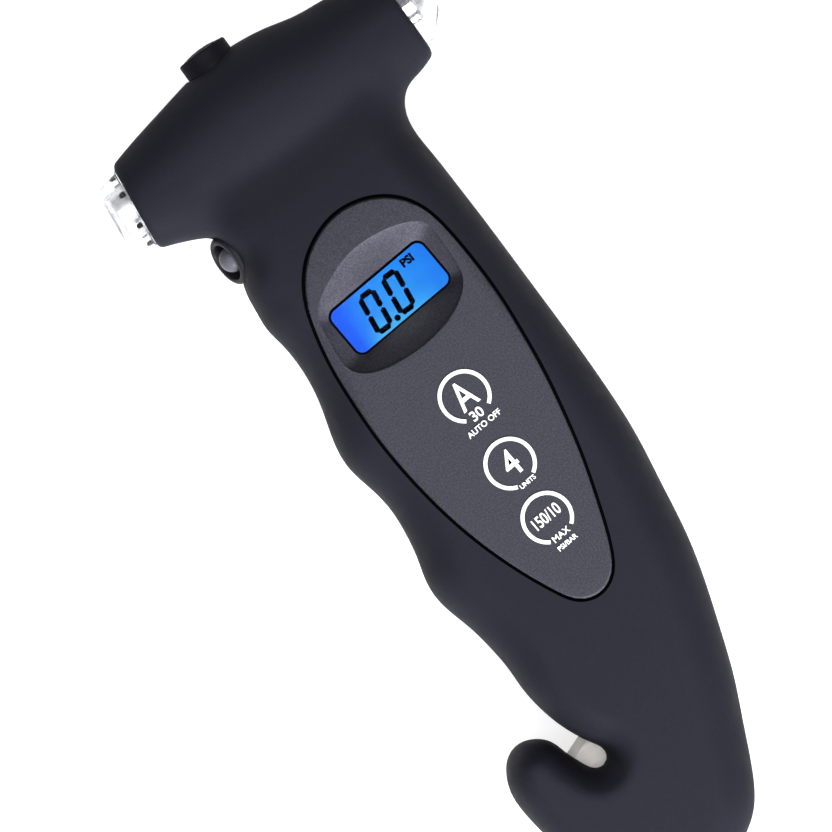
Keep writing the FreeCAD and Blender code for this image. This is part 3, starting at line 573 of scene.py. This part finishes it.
def panel_plastic_with_painted_shade(name):
    """Spark-eroded panel: coarse sparkle of darker and lighter points, with painted light and shade on its slopes.
    """
    s = Surface(name, specular=0.07)
    speckle = s.noise(3.4, 3, 0.9)
    shade = s.ramp(speckle, [(0.34, srgb(30, 30, 37)), (0.5, srgb(41, 41, 48)), (0.66, srgb(52, 52, 60))])
    # painted light and shade: the colour is paler on slopes that face the foot, where the key lamp shines from,
    # and darker on slopes that face the head
    split = s.node("ShaderNodeSeparateXYZ")
    s.link(s.tree.nodes["Texture Coordinate"].outputs["Normal"], split.inputs["Vector"])
    slope = s.node("ShaderNodeMapRange", from_min=-PAINTED_SHADE_SLOPE, from_max=PAINTED_SHADE_SLOPE)
    s.link(split.outputs["Y"], slope.inputs["Value"])
    level = s.ramp(slope.outputs["Result"], [(0.0, grey(1.0)), (0.3, grey(0.62)), (0.7, grey(0.62)),
                                             (1.0, grey(0.28))])
    # the speckle times the painted light and shade
    tint = s.node("ShaderNodeVectorMath", operation="MULTIPLY")
    s.link(shade, tint.inputs[0])
    s.link(level, tint.inputs[1])
    scaled = s.node("ShaderNodeVectorMath", operation="SCALE", scale=PANEL_GAIN)
    s.link(tint.outputs["Vector"], scaled.inputs[0])
    s.link(scaled.outputs["Vector"], s.shader.inputs["Base Color"])
    s.gloss(s.noise(0.6, 3), 0.45, 0.6)
    s.bump(s.noise(2.8, 3, 0.7), 0.035)
    return s.material


MATERIALS = {
    "soft_touch": rubber_coat("soft_touch"),
    "panel": panel_plastic_with_painted_shade("panel"),
    # near-black without gloss: the seals, which also paint the shade in the groove and round the window, and the
    # painted shade in the trigger's gap
    "groove": plastic("groove", (2, 2, 3), (5, 5, 7), (0.7, 0.8), specular=0.0),
    "window": clear("window", (235, 242, 250), (0.02, 0.05), 1.03, 0.001, 0.1),
    "digits": plastic("digits", (3, 4, 12), (7, 8, 18), (0.5, 0.6), specular=0.0),
    "print": plastic("print", (190, 190, 192), (205, 205, 206), (0.45, 0.55), 4.0, 0.004),
    "light_guide": plastic("light_guide", (170, 195, 235), (190, 210, 240), (0.1, 0.2)),
    "elastomer": plastic("elastomer", (14, 14, 14), (22, 22, 22), (0.6, 0.75), specular=0.1),
    "white_plastic": plastic("white_plastic", (205, 205, 200), (220, 220, 214), (0.4, 0.55)),
    "circuit_board": plastic("circuit_board", (14, 84, 42), (22, 104, 52), (0.25, 0.35)),
    "screw_steel": metal("screw_steel", (120, 120, 122), (150, 150, 153)),
    "resin": plastic("resin", (12, 12, 12), (20, 20, 20), (0.15, 0.3), 0.4, 0.05),
    "can_metal": metal("can_metal", (180, 180, 182), (205, 205, 206)),
    "chuck_metal": metal("chuck_metal", (200, 200, 203), (220, 220, 222), (0.25, 0.4), (0.2, 3, 3),
                         metallic=0.5),
    "brass": metal("brass", (180, 140, 70), (205, 165, 90)),
    "clear_plastic": clear("clear_plastic", (246, 248, 250), (0.2, 0.3), 1.12, 0.004, 0.2),
    "lamp": clear("lamp", (250, 250, 240), (0.05, 0.1)),
    "bright_metal": metal("bright_metal", (205, 205, 208), (230, 230, 231), (0.1, 0.2), (0.2, 3, 3)),
    "tip_steel": metal("tip_steel", (168, 168, 171), (192, 192, 195), (0.3, 0.45), metallic=0.6),
    "button_black": plastic("button_black", (15, 15, 20), (20, 20, 27), (0.5, 0.62), 3.0, 0.02, 0.04),
    "switch_plastic": plastic("switch_plastic", (28, 28, 28), (38, 38, 38)),
    "bezel": plastic("bezel", (24, 24, 29), (32, 32, 37), (0.35, 0.45), 3.0, 0.012, 0.06),
    "trigger_grey": plastic("trigger_grey", (62, 62, 69), (74, 74, 81), (0.35, 0.45), 3.0, 0.01, 0.12),
    "blade_steel": metal("blade_steel", (114, 112, 110), (124, 121, 119), (0.42, 0.5),
                         (0.3, 2.5, 1.0), 2.0, 0.005),
    "cell_jacket": plastic("cell_jacket", (24, 78, 52), (34, 96, 64), (0.2, 0.3)),
    "contact_metal": metal("contact_metal", (186, 184, 178), (210, 208, 204)),
    "door": plastic("door", (24, 24, 30), (30, 30, 36), (0.5, 0.65), 2.5, 0.03, 0.15),
    "wire": plastic("wire", (150, 24, 20), (176, 36, 30), (0.4, 0.5)),
}

WINDOW_SIZE = (20.9, 9.6)
WINDOW_CORNER = 1.8
LCD_X, LCD_Y = -1.65, 29.95     # middle of the window
LCD_TILT = math.radians(4.1)    # slant at which the display sits


def lcd_material():
    """Backlit display: deep blue at the left, cyan low down and round the figures."""
    s = Surface("lcd", roughness=0.6, specular=0.0)
    split = s.node("ShaderNodeSeparateXYZ")
    s.link(s.place, split.inputs["Vector"])

    def along(axis, start, end):
        """Rises from 0 to 1 between two places (millimetres) on an axis."""
        span = s.node("ShaderNodeMapRange", from_min=start * MM, from_max=end * MM)
        s.link(split.outputs[axis], span.inputs["Value"])
        return span.outputs["Result"]

    across = along("X", LCD_X - 10.5, LCD_X + 10.5)
    base = s.ramp(across, [(0.0, srgb(44, 98, 250)), (0.14, srgb(42, 108, 252)),
                           (0.3, srgb(36, 128, 250)), (0.62, srgb(34, 140, 250)),
                           (1.0, srgb(34, 124, 240))])
    halo = s.ramp(across, [(0.1, grey(0)), (0.3, grey(0.75)), (0.62, grey(0.65)), (0.9, grey(0.1))])
    low = s.ramp(along("Y", LCD_Y - 5.0, LCD_Y + 4.5), [(0.0, grey(1)), (0.35, grey(0.4)),
                                                      (1.0, grey(0.15))])
    amount = s.node("ShaderNodeMath", operation="MULTIPLY")
    s.link(halo, amount.inputs[0])
    s.link(low, amount.inputs[1])
    mix = s.node("ShaderNodeMix", data_type="RGBA")
    s.link(amount.outputs[0], mix.inputs["Factor"])
    colours = [socket for socket in mix.inputs if socket.type == "RGBA"]
    s.link(base, colours[0])
    colours[1].default_value = srgb(92, 205, 246)
    result = next(socket for socket in mix.outputs if socket.type == "RGBA")
    s.link(result, s.shader.inputs["Emission Color"])
    s.shader.inputs["Emission Strength"].default_value = 1.0
    s.shader.inputs["Base Color"].default_value = srgb(4, 8, 20)
    s.bump(s.noise(1.2, 2), 0.002)
    return s.material


MATERIALS["lcd"] = lcd_material()


# ---- shells --------------------------------------------------------
def groove_loop(grow, count=240):
    """The panel groove's middle line, moved outwards by so much."""
    loop = spline_loop(GROOVE, count)
    tangent = np.roll(loop, -1, 0) - np.roll(loop, 1, 0)
    tangent /= np.linalg.norm(tangent, axis=1)[:, None]
    outward = np.stack([-tangent[:, 1], tangent[:, 0]], axis=1)
    return loop + outward * grow


def hollow_field(x, y, z):
    """Below zero inside the shells' material."""
    return np.maximum(body_field(x, y, z), -cavity_field(x, y, z))


NET_LOW, NET_COUNT, NET_STEP = (-36, -85.5, -1.2), (96, 244, 41), 0.7


def build_shells():
    """Hollow body, split in the parting plane, with its pockets and holes cut through."""
    verts, quads = surface_nets(hollow_field, NET_LOW, NET_COUNT, NET_STEP)
    x, y, z = verts.T
    outer = np.abs(body_field(x, y, z)) < np.abs(cavity_field(x, y, z))
    verts[outer] = settle(body_field, verts[outer])
    verts[~outer] = settle(cavity_field, verts[~outer], 1)
    for name, node, z0, z1, own_cutters in (
            ("front_skin", "front_shell", -20, PART_Z + SHELL_GAP, front_cutters),
            ("rear_skin", "rear_shell", PART_Z - SHELL_GAP, 40, rear_cutters)):
        shell = mesh_object(name, verts, quads)
        carve(shell, [block("other_half", -60, 60, -100, 100, z0, z1)] + shared_cutters() + own_cutters())
        shade_by_angle(shell, 30)
        piece(shell, "housing", MATERIALS["soft_touch"], [node])


# trigger's place on the wall, found from its round board behind it
BOARD_BEHIND = 6.75
push = next(j for j in frame["joints"] if j["name"] == "trigger_push")
TRIGGER_OUT = -Vector(push["axis"])
TRIGGER = Vector(sum(node_box("trigger_board")) / 2) + TRIGGER_OUT * BOARD_BEHIND
BEZEL_RADIUS = 4.6


def shared_cutters():
    """Holes that pass through both shells."""
    chuck_end = node_box("nozzle_chuck")[1][0]
    collar_low, collar_high = node_box("nozzle_collar")
    button_x = sum(node_box("lamp_button"))[0] / 2
    inner, outer, deep = 5.6, 6.8, 6.0
    cap_groove = [(0, inner), (0, outer), (deep, outer), (deep, inner), (0, inner)]
    return [
        rod("button_hole", 4.95, (button_x, 70, PART_Z), (button_x, 90, PART_Z)),
        head_rod("collar_hole", 7.3, FACE_LEFT - 4, collar_high[0] - 0.1),
        head_rod("chuck_hole", 4.85, collar_low[0], chuck_end),
        head_rod("tip_hole", 3.95, FACE_RIGHT - 1.2, FACE_RIGHT + 3),
        lathe("cap_groove", cap_groove, (FACE_RIGHT - 1.6, HEAD_Y, PART_Z), (1, 0, 0), 96, smooth=False),
        rod("bezel_hole", BEZEL_RADIUS + 0.08, TRIGGER - TRIGGER_OUT * 2.6, TRIGGER + TRIGGER_OUT * 8),
    ]


def front_cutters():
    """Pocket for the panel and the opening behind its window."""
    low, high = node_box("display_window")
    gap = 0.2
    return [prisms("panel_pocket", [groove_loop(GROOVE_HALF)], POCKET_FLOOR, 40),
            block("display_opening", low[0] - gap, high[0] + gap, low[1] - gap, high[1] + gap, 15, 30)]


SCREW_WELLS = [(-13.6, 43.6), (10.4, 43.6), (-15.6, -39.0), (7.6, -39.0), (-15.5, -69.0)]
WELL_RADIUS, WELL_DEPTH = 2.45, 3.2


def rear_cutters():
    """Door opening, battery bay and screw wells."""
    low, high = node_box("battery_door")
    cuts = [block("door_opening", low[0] - 0.2, high[0] + 0.2, low[1] - 0.2, 22.5, -3, 2.35),
            block("bay", low[0] + 1.1, high[0] - 1.1, low[1] + 1.0, 21.5, -1, 10.5)]
    return cuts + [rod("well", WELL_RADIUS, (x, y, -3), (x, y, WELL_DEPTH), 48) for x, y in SCREW_WELLS]


build_shells()


# ---- panel and display ---------------------------------------------
# rim of the dished recess round the window
RECESS = [
    (-12.1, 36.0), (-8.1, 38.3), (-3.8, 39.8), (0.6, 40.2), (4.6, 39.7), (8.4, 38.5), (10.6, 36.8),
    (11.2, 33.6), (11.1, 28.6), (10.5, 25.6), (9.0, 23.6), (5.2, 21.4), (1.0, 20.2), (-4.3, 19.9),
    (-9.0, 20.6), (-12.3, 21.8), (-14.1, 23.6), (-14.6, 26.6), (-14.1, 31.5), (-13.4, 34.4),
]


def rounded_rectangle(width, height, corner, tilt, centre, steps=12):
    """Loop of a tilted rectangle with round corners."""
    loop = []
    for k, (sx, sy) in enumerate(((1, 1), (-1, 1), (-1, -1), (1, -1))):
        for i in range(steps + 1):
            a = math.pi / 2 * (k + i / steps)
            loop.append((sx * (width / 2 - corner) + corner * math.cos(a),
                         sy * (height / 2 - corner) + corner * math.sin(a)))
    c, s = math.cos(tilt), math.sin(tilt)
    return np.array([(centre[0] + x * c - y * s, centre[1] + x * s + y * c) for x, y in loop])


def window_loop(inset=0.0):
    """Edge of the window, moved inwards by so much."""
    return rounded_rectangle(WINDOW_SIZE[0] - 2 * inset, WINDOW_SIZE[1] - 2 * inset,
                             WINDOW_CORNER - inset, LCD_TILT, (LCD_X, LCD_Y))


def polar(loop, angles, centre):
    """Points of a star-shaped loop at the given angles about the centre."""
    rel = np.asarray(loop) - centre
    a = np.unwrap(np.arctan2(rel[:, 1], rel[:, 0]))
    if a[-1] < a[0]:
        rel, a = rel[::-1], a[::-1]
    r = np.hypot(rel[:, 0], rel[:, 1])
    a = np.concatenate([a - 2 * math.pi, a, a + 2 * math.pi])
    order = np.argsort(a)
    radius = np.interp(angles, a[order], np.tile(r, 3)[order])
    return centre + np.stack([radius * np.cos(angles), radius * np.sin(angles)], axis=1)


def ring_mesh(name, rings):
    """Closed band of quads through rings of equal length, the last joined to the first."""
    n, count = len(rings[0]), len(rings)
    faces = []
    for k in range(count):
        for i in range(n):
            j = (i + 1) % n
            a, b = k * n, ((k + 1) % count) * n
            faces.append((a + i, b + i, b + j, a + j))
    return face_outwards(mesh_object(name, np.vstack(rings), faces))


def with_height(loop, z):
    """The loop's points at a height, or at a height each."""
    return np.column_stack([loop, np.broadcast_to(z, len(loop))])


SEAT_Z = 24.3                   # bottom of the recess
PANEL_EDGE = 0.4                # rounding of the panel's outer edge
SEAL_SINK = 0.55                # the groove's black seal, which also paints the shade down in the groove, sits this far down
SEAL_GAP = 0.03                 # beside it
LIP_LOW, LIP_HIGH = 24.16, 24.36  # black seal round the window, which also paints the shade on the opening's wall


def build_panel():
    """Teardrop panel with a dished recess, and the black seals in its groove and round the window, which also
    paint the shade down in them.
    """
    centre = np.array([LCD_X, LCD_Y])
    window = evenly(window_loop(), 600)
    rim = spline_loop(RECESS, 400)
    edge = groove_loop(-GROOVE_HALF, 900)
    # spokes from the window's middle, close together wherever one of the loops bends
    picks = []
    for loop, count in ((window, 190), (groove_loop(0, 900), 130), (rim, 90)):
        step = np.linspace(0, len(loop), count, endpoint=False).astype(int)
        rel = loop[step] - centre
        picks.append(np.arctan2(rel[:, 1], rel[:, 0]))
    angles = np.unique(np.round(np.concatenate(picks), 3))
    window, rim, edge = (polar(loop, angles, centre) for loop in (window, rim, edge))
    base_z = node_box("panel_plate")[0][2]
    rings = [with_height(window, base_z), with_height(window, SEAT_Z - 0.04)]
    top = front_height(*rim.T)
    # shallow dished wall, steeper towards the rim
    for t in np.linspace(0, 0.97, 12):
        z = SEAT_Z + (top - 0.12 - SEAT_Z) * (0.78 * t + 0.22 * t**3)
        rings.append(with_height(window + (rim - window) * t, z))
    # softly broken edge, then the face
    for t in [0.0, 0.012, 0.03] + list(np.linspace(0.06, 0.95, 34)):
        xy = rim + (edge - rim) * t
        drop = 0.05 if t == 0 else 0.0
        rings.append(with_height(xy, front_height(*xy.T) - drop))
    # rounded outer edge
    inward = rim - edge
    inward /= np.linalg.norm(inward, axis=1)[:, None]
    for a in np.radians((90, 68, 45, 22, 0)):
        xy = edge + inward * PANEL_EDGE * (1 - math.cos(a))
        rings.append(with_height(xy, front_height(*xy.T) - PANEL_EDGE * (1 - math.sin(a))))
    rings.append(with_height(edge, base_z))
    panel = shade_by_angle(ring_mesh("panel_skin", rings), 28)
    piece(panel, "housing", MATERIALS["panel"], ["panel_plate"])

    # black seal in the groove: a gasket that also paints the shade down in the groove
    inner, outer = groove_loop(SEAL_GAP - GROOVE_HALF), groove_loop(GROOVE_HALF - SEAL_GAP)
    foot = POCKET_FLOOR + 0.05
    levels = [front_height(*loop.T) - SEAL_SINK for loop in (inner, outer)]
    groove_seal_and_shade = ring_mesh("panel_seal_and_shade", [with_height(inner, foot), with_height(inner, levels[0]),
                                    with_height(outer, levels[1]), with_height(outer, foot)])
    piece(shade_by_angle(groove_seal_and_shade), "housing", MATERIALS["groove"])
    # black lip round the window: a seal that also paints the shade on the opening's wall
    outer, inner = window_loop(-0.04), window_loop(0.36) + (0, -0.06)
    window_lip_and_shade = ring_mesh("window_seal_and_shade", [with_height(outer, LIP_LOW), with_height(outer, LIP_HIGH),
                                    with_height(inner, LIP_HIGH), with_height(inner, LIP_LOW)])
    piece(shade_by_angle(window_lip_and_shade), "housing", MATERIALS["groove"])


build_panel()


def on_display(x, y):
    """A place measured from the display's middle along its tilted axes."""
    c, s = math.cos(LCD_TILT), math.sin(LCD_TILT)
    return LCD_X + x * c - y * s, LCD_Y + x * s + y * c


DIGIT_SIZE = (2.6, 6.6)         # between the middles of the bars
DIGIT_STROKE = 0.98
DIGIT_GAP = 0.06                # between two bars' tips
DIGIT_SLANT = 0.187
DIGIT_DROOP = 0.07
DIGIT_CORNERS = [(-5.25, -3.45), (-0.13, -3.4)]
POINT_AT = (-1.15, -3.5)
POINT_RADIUS = 0.55
UNIT_AT = (6.35, 3.0)
INK = 0.03                      # thickness of the figures


def zero_bars(x, y):
    """The six bars of a leaning zero, its lower left corner at (x, y) on the display."""
    width, height = DIGIT_SIZE
    gap, s = DIGIT_GAP, DIGIT_STROKE / 2
    slope = 0.7 * s
    middle = height / 2
    bars = [(0, height, width, height), (width, middle, width, height), (width, 0, width, middle),
            (0, 0, width, 0), (0, 0, 0, middle), (0, middle, 0, height)]
    polygons = []
    for x0, y0, x1, y1 in bars:
        length = math.hypot(x1 - x0, y1 - y0)
        ux, uy = (x1 - x0) / length, (y1 - y0) / length
        outline = [(gap, 0), (gap + slope, s), (length - gap - slope, s), (length - gap, 0),
                   (length - gap - slope, -s), (gap + slope, -s)]
        poly = []
        for a, b in outline:
            px, py = x0 + ux * a - uy * b, y0 + uy * a + ux * b
            poly.append(on_display(x + px + DIGIT_SLANT * py, y + py - DIGIT_DROOP * px))
        polygons.append(poly)
    return polygons


def flat_text(name, text, size, x, y, tilt, z, thickness, material, bold=0.0, width=1.0):
    """Flat lettering laid on a surface, centred at (x, y)."""
    curve = bpy.data.curves.new(name, "FONT")
    curve.body = text
    curve.size = size
    curve.align_x, curve.align_y = "CENTER", "CENTER"
    curve.offset = bold
    curve.resolution_u = 6
    holder = bpy.data.objects.new(name, curve)
    bpy.context.scene.collection.objects.link(holder)
    bpy.context.view_layer.update()
    graph = bpy.context.evaluated_depsgraph_get()
    mesh = bpy.data.meshes.new_from_object(holder.evaluated_get(graph))
    bpy.data.objects.remove(holder)
    bm = bmesh.new()
    bm.from_mesh(mesh)
    bmesh.ops.remove_doubles(bm, verts=bm.verts, dist=1e-5)
    spread = [[v.co[k] for v in bm.verts] for k in (0, 1)]
    middle = [(min(c) + max(c)) / 2 for c in spread]
    bmesh.ops.translate(bm, verts=bm.verts, vec=(-middle[0], -middle[1], 0))
    top = bmesh.ops.extrude_face_region(bm, geom=bm.faces[:])
    bmesh.ops.translate(bm, verts=[v for v in top["geom"] if isinstance(v, bmesh.types.BMVert)],
                        vec=(0, 0, thickness))
    spot = (Matrix.Translation(Vector((x, y, z))) @ Matrix.Rotation(tilt, 4, "Z")
            @ Matrix.Diagonal((width, 1, 1, 1)))
    bmesh.ops.transform(bm, matrix=Matrix.Scale(MM, 4) @ spot, verts=bm.verts)
    bmesh.ops.recalc_face_normals(bm, faces=bm.faces)
    for face in bm.faces:
        face.smooth = False
    bm.to_mesh(mesh)
    bm.free()
    obj = bpy.data.objects.new(name, mesh)
    bpy.context.scene.collection.objects.link(obj)
    return piece(obj, "housing", material)


def build_display():
    """Lit glass with two figures, the point between them and the unit."""
    low, high = node_box("lcd_glass")
    edge = rounded_rectangle(high[0] - low[0], high[1] - low[1], 0.4, 0, (low[:2] + high[:2]) / 2)
    cell = prisms("lcd_cell", [edge], low[2], high[2])
    piece(cell, "housing", MATERIALS["lcd"], ["lcd_glass"])
    z = high[2] + 0.01
    bars = [bar for corner in DIGIT_CORNERS for bar in zero_bars(*corner)]
    point = [on_display(POINT_AT[0] + POINT_RADIUS * math.cos(a), POINT_AT[1] + POINT_RADIUS * math.sin(a))
             for a in np.linspace(0, 2 * math.pi, 20, endpoint=False)]
    digits = prisms("digits", bars + [point], z, z + INK)
    piece(digits, "housing", MATERIALS["digits"])
    x, y = on_display(*UNIT_AT)
    flat_text("unit_mark", "PSI", 2.0, x, y, LCD_TILT - 0.03, z, INK, MATERIALS["digits"], 0.1)


build_display()


PRINT_Z = 2 * HALF_DEPTH + 0.005
PRINT = 0.02                    # thickness of the printed marks
PRINT_TILT = math.radians(4.5)
RING_STROKE = 0.68
MARKS = {
    # a ring's x, y, radius and two ends; then texts with size, x, y, boldness and width
    "mark_off": ((-1.2, 8.85, 4.6, -122, -52), [
        ("letter", "A", 7.2, -1.3, 9.15, 0.06, 0.74),
        ("minutes", "30", 2.5, -1.25, 5.25, 0.05, 1),
        ("words", "AUTO OFF", 1.45, -1.25, 3.15, 0.03, 1)]),
    "mark_ranges": ((-1.65, -4.95, 4.55, -108, -57), [
        ("digit", "4", 6.6, -1.6, -4.9, 0.07, 0.85),
        ("words", "UNITS", 1.15, -1.05, -9.2, 0.03, 1)]),
    "mark_limit": ((-1.95, -16.1, 4.55, -118, -50), [
        ("figures", "150/10", 2.9, -1.95, -15.8, 0.05, 0.72),
        ("words", "MAX", 1.6, -1.7, -19.75, 0.03, 1),
        ("units", "PSI/BAR", 1.2, -1.6, -21.5, 0.03, 1)]),
}


def ring_mark(name, x, y, radius, gap_from, gap_to):
    """Printed ring with a gap, angles in degrees."""
    angles = np.radians(np.linspace(gap_to, gap_from + 360, 90))
    outer, inner = ([(x + r * math.cos(a), y + r * math.sin(a)) for a in angles]
                    for r in (radius, radius - RING_STROKE))
    ring = prisms(name, [outer + inner[::-1]], PRINT_Z, PRINT_Z + PRINT)
    piece(ring, "housing", MATERIALS["print"])


def build_marks():
    """Three printed rings on the panel with their letters and figures."""
    for mark, (ring, texts) in MARKS.items():
        ring_mark(mark + "_ring", *ring)
        for part, text, size, x, y, bold, width in texts:
            flat_text(f"{mark}_{part}", text, size, x, y, PRINT_TILT, PRINT_Z, PRINT, MATERIALS["print"],
                      bold, width)


build_marks()


# ---- fittings ------------------------------------------------------
def arc(centre, radius, start, end, steps=8):
    """Rounded corner of a profile; angles in degrees from the axis direction."""
    return [(centre[0] + radius * math.cos(a), centre[1] + radius * math.sin(a))
            for a in np.radians(np.linspace(start, end, steps))]


def turned(name, profile, origin, axis, body, material, replaces=(), segments=96, sharp=30):
    """Turned piece with its material and body."""
    obj = shade_by_angle(lathe(name, profile, origin, axis, segments), sharp)
    return piece(obj, body, MATERIALS[material], replaces)


def build_trigger():
    """Bezel ring, a black ring down in its gap that paints the shade there, and the domed button."""
    out, back, throat = 1.9, -2.5, 3.4
    ring = ([(back, throat), (back, BEZEL_RADIUS)] + arc((out - 0.75, BEZEL_RADIUS - 0.75), 0.75, 90, 0)
            + arc((out - 0.35, throat + 0.35), 0.35, 0, -90, 5) + [(back, throat)])
    turned("trigger_ring", ring, TRIGGER, TRIGGER_OUT, "housing", "bezel", ["trigger_bezel"])
    # painted shade: a black ring down in the gap between the bezel and the button
    low, high, inner, outer = -2.4, -0.5, 2.5, throat + 0.05
    turned("trigger_gap_shade", [(low, inner), (low, outer), (high, outer), (high, inner), (low, inner)],
           TRIGGER, TRIGGER_OUT, "housing", "groove")
    dome = 2.3
    stud = [(-3.3, 0), (-3.3, 3.1), (-2.65, 3.1), (-2.65, dome), (0.5, dome)]
    stud += arc((0.5, 0), dome, 90, 0, 16)[1:-1] + [(0.5 + dome, 0)]
    turned("trigger_stud", stud, TRIGGER, TRIGGER_OUT, "trigger", "trigger_grey", ["trigger_button"])


BUTTON_RISE = 0.6               # its crown stands a little above the CAD button's flat top
BUTTON_SHIFT = 0.2
BUTTON_CROWN = 0.036            # fall of the crown at 1 mm from the middle


def build_lamp_button():
    """Push button with a tall rim and a crowned top with one turned ring."""
    low, high = node_box("lamp_button")
    x, top = (low[0] + high[0]) / 2 + BUTTON_SHIFT, high[1] + BUTTON_RISE
    foot, flange, neck, rim = low[1], low[1] + 1.5, 4.1, 4.62
    shoulder = top - 0.45
    profile = [(foot, 0), (foot, 1.6), (flange, 1.6), (flange, 6.2), (flange + 1, 6.2),
               (flange + 1, neck), (flange + 1.7, neck), (flange + 2.1, rim)]
    profile += arc((shoulder - 0.55, rim - 0.5), 0.5, 90, 30, 6)
    for radius, sink in ((3.6, 0.0), (3.35, 0.0), (3.2, 0.16), (3.0, 0.16), (2.85, 0.0), (1.6, 0.0)):
        profile.append((top - BUTTON_CROWN * radius**2 - sink, radius))
    profile.append((top, 0))
    turned("button_skin", profile, (x, 0, PART_Z), (0, 1, 0), "lamp_button", "button_black",
           ["lamp_button"], sharp=22)


def build_nozzle():
    """Clear leaning lens round the chuck, with the six lamp bodies inside it."""
    low, high = node_box("nozzle_collar")
    bore, lamp_circle, lamp_radius = 4.78, 5.85, 0.5
    lamp = [(0, 0), (0, lamp_radius), (0.6, lamp_radius)] + arc((0.6, 0), lamp_radius, 90, 0, 6)[1:]
    face = -FACE_LEFT
    profile = [(-high[0], bore), (-high[0], 7.2), (face + 0.12, 7.25), (face + 0.3, 7.1),
               (face + 0.34, 6.9)]
    profile += arc((-low[0] - 1.35, 5.0), 1.3, 72, 0, 9)
    profile += [(-low[0] - 0.05, bore + 0.15), (-low[0] - 0.2, bore), (-high[0], bore)]
    lens = turned("nozzle_lens", profile, (0, HEAD_Y, PART_Z), (-1, 0, 0), "housing", "clear_plastic",
                  ["nozzle_collar"], sharp=24)
    for vertex in lens.data.vertices:
        vertex.co.x += NOZZLE_LEAN * (vertex.co.y - HEAD_Y * MM)
    for i in range(6):
        a = math.pi * i / 3
        y, z = HEAD_Y + lamp_circle * math.cos(a), PART_Z + lamp_circle * math.sin(a)
        x = FACE_LEFT - 0.35 + NOZZLE_LEAN * (y - HEAD_Y)
        turned(f"lamp_body_{i + 1}", lamp, (x, y, z), (-1, 0, 0), "housing", "bezel", segments=24)


def build_guard_cap():
    """Clear cone over the glass breaker's point."""
    low, high = node_box("guard_cap")
    tip, rim = high[0], high[1] - HEAD_Y
    outer = [(low[0], rim - 1.0), (low[0], rim - 0.02), (tip - 3.9, rim - 0.04), (tip - 3.55, rim - 0.2)]
    outer += [(tip - 0.4, 3.1), (tip - 0.1, 2.6), (tip, 2.0), (tip, 0)]
    inner = [(tip - 0.85, 0), (tip - 0.85, 2.2), (tip - 3.85, rim - 1.15), (low[0], rim - 1.0)]
    turned("cap_cone", outer + inner, (0, HEAD_Y, PART_Z), (1, 0, 0), "guard_cap", "clear_plastic",
           ["guard_cap"], sharp=20)


build_trigger()
build_lamp_button()
build_nozzle()
build_guard_cap()


# ---- carried-over CAD nodes ----------------------------------------
for name, obj in frame["nodes"].items():
    slot = next(s["material_slot"] for s in frame["record"]["subparts"] if s["node"] == name)
    obj.data.materials.clear()
    obj.data.materials.append(MATERIALS[slot])

# ---- floor, lights and camera --------------------------------------
FLOOR = 3000
corners = [(-FLOOR, -FLOOR, 0), (FLOOR, -FLOOR, 0), (FLOOR, FLOOR, 0), (-FLOOR, FLOOR, 0)]
floor = mesh_object("floor", corners, [(0, 1, 2, 3)], smooth=False)
# a light table, so that no shadow on it is darker than pale grey
floor_surface = Surface("floor", roughness=0.85, specular=0.0)
floor_surface.colour(floor_surface.noise(0.01, 3), [(0.3, (0.44, 0.44, 0.45, 1)),
                                                    (0.7, (0.46, 0.46, 0.47, 1))])
floor_surface.shader.inputs["Emission Color"].default_value = (1.0, 1.0, 1.0, 1)
floor_surface.shader.inputs["Emission Strength"].default_value = 0.7
floor.data.materials.append(floor_surface.material)

scene = bpy.context.scene
scene.view_settings.view_transform = "Standard"
world = bpy.data.worlds.new("studio")
world.use_nodes = True
background = world.node_tree.nodes["Background"]
background.inputs["Color"].default_value = (1.0, 1.0, 1.02, 1)
background.inputs["Strength"].default_value = 0.3
scene.world = world

# the picture's right and up: the camera looks straight down, turned against the gauge
TURN = math.radians(36.0)
RIGHT = Vector((math.cos(TURN), -math.sin(TURN), 0))
UP = Vector((math.sin(TURN), math.cos(TURN), 0))


def soft_light(name, right, up, height, size, power):
    """Square lamp aimed at the gauge, placed in the picture's own directions (millimetres)."""
    data = bpy.data.lights.new(name, "AREA")
    data.size = size * MM
    data.energy = power
    lamp = bpy.data.objects.new(name, data)
    place = RIGHT * right + UP * up + Vector((0, 0, height))
    lamp.location = place * MM
    lamp.rotation_euler = (-place).to_track_quat("-Z", "Y").to_euler()
    scene.collection.objects.link(lamp)


soft_light("overhead", 0, 0, 2600, 2400, 90.0)
soft_light("key", 380, -840, 520, 500, 36.0)

camera_data = bpy.data.cameras.new("camera")
camera_data.lens = 500.0        # long, so that the sides of the gauge stay hidden
camera_data.sensor_width = 36.0
camera = bpy.data.objects.new("camera", camera_data)
AIM = Vector((-9.85, 11.0, 16.0))
VIEW_WIDTH = 142.2              # millimetres across the picture
distance = VIEW_WIDTH * camera_data.lens / camera_data.sensor_width
camera.location = (AIM + Vector((0, 0, distance))) * MM
camera.rotation_euler = (0, 0, -TURN)
camera_data.clip_start = 0.01
scene.collection.objects.link(camera)
scene.camera = camera
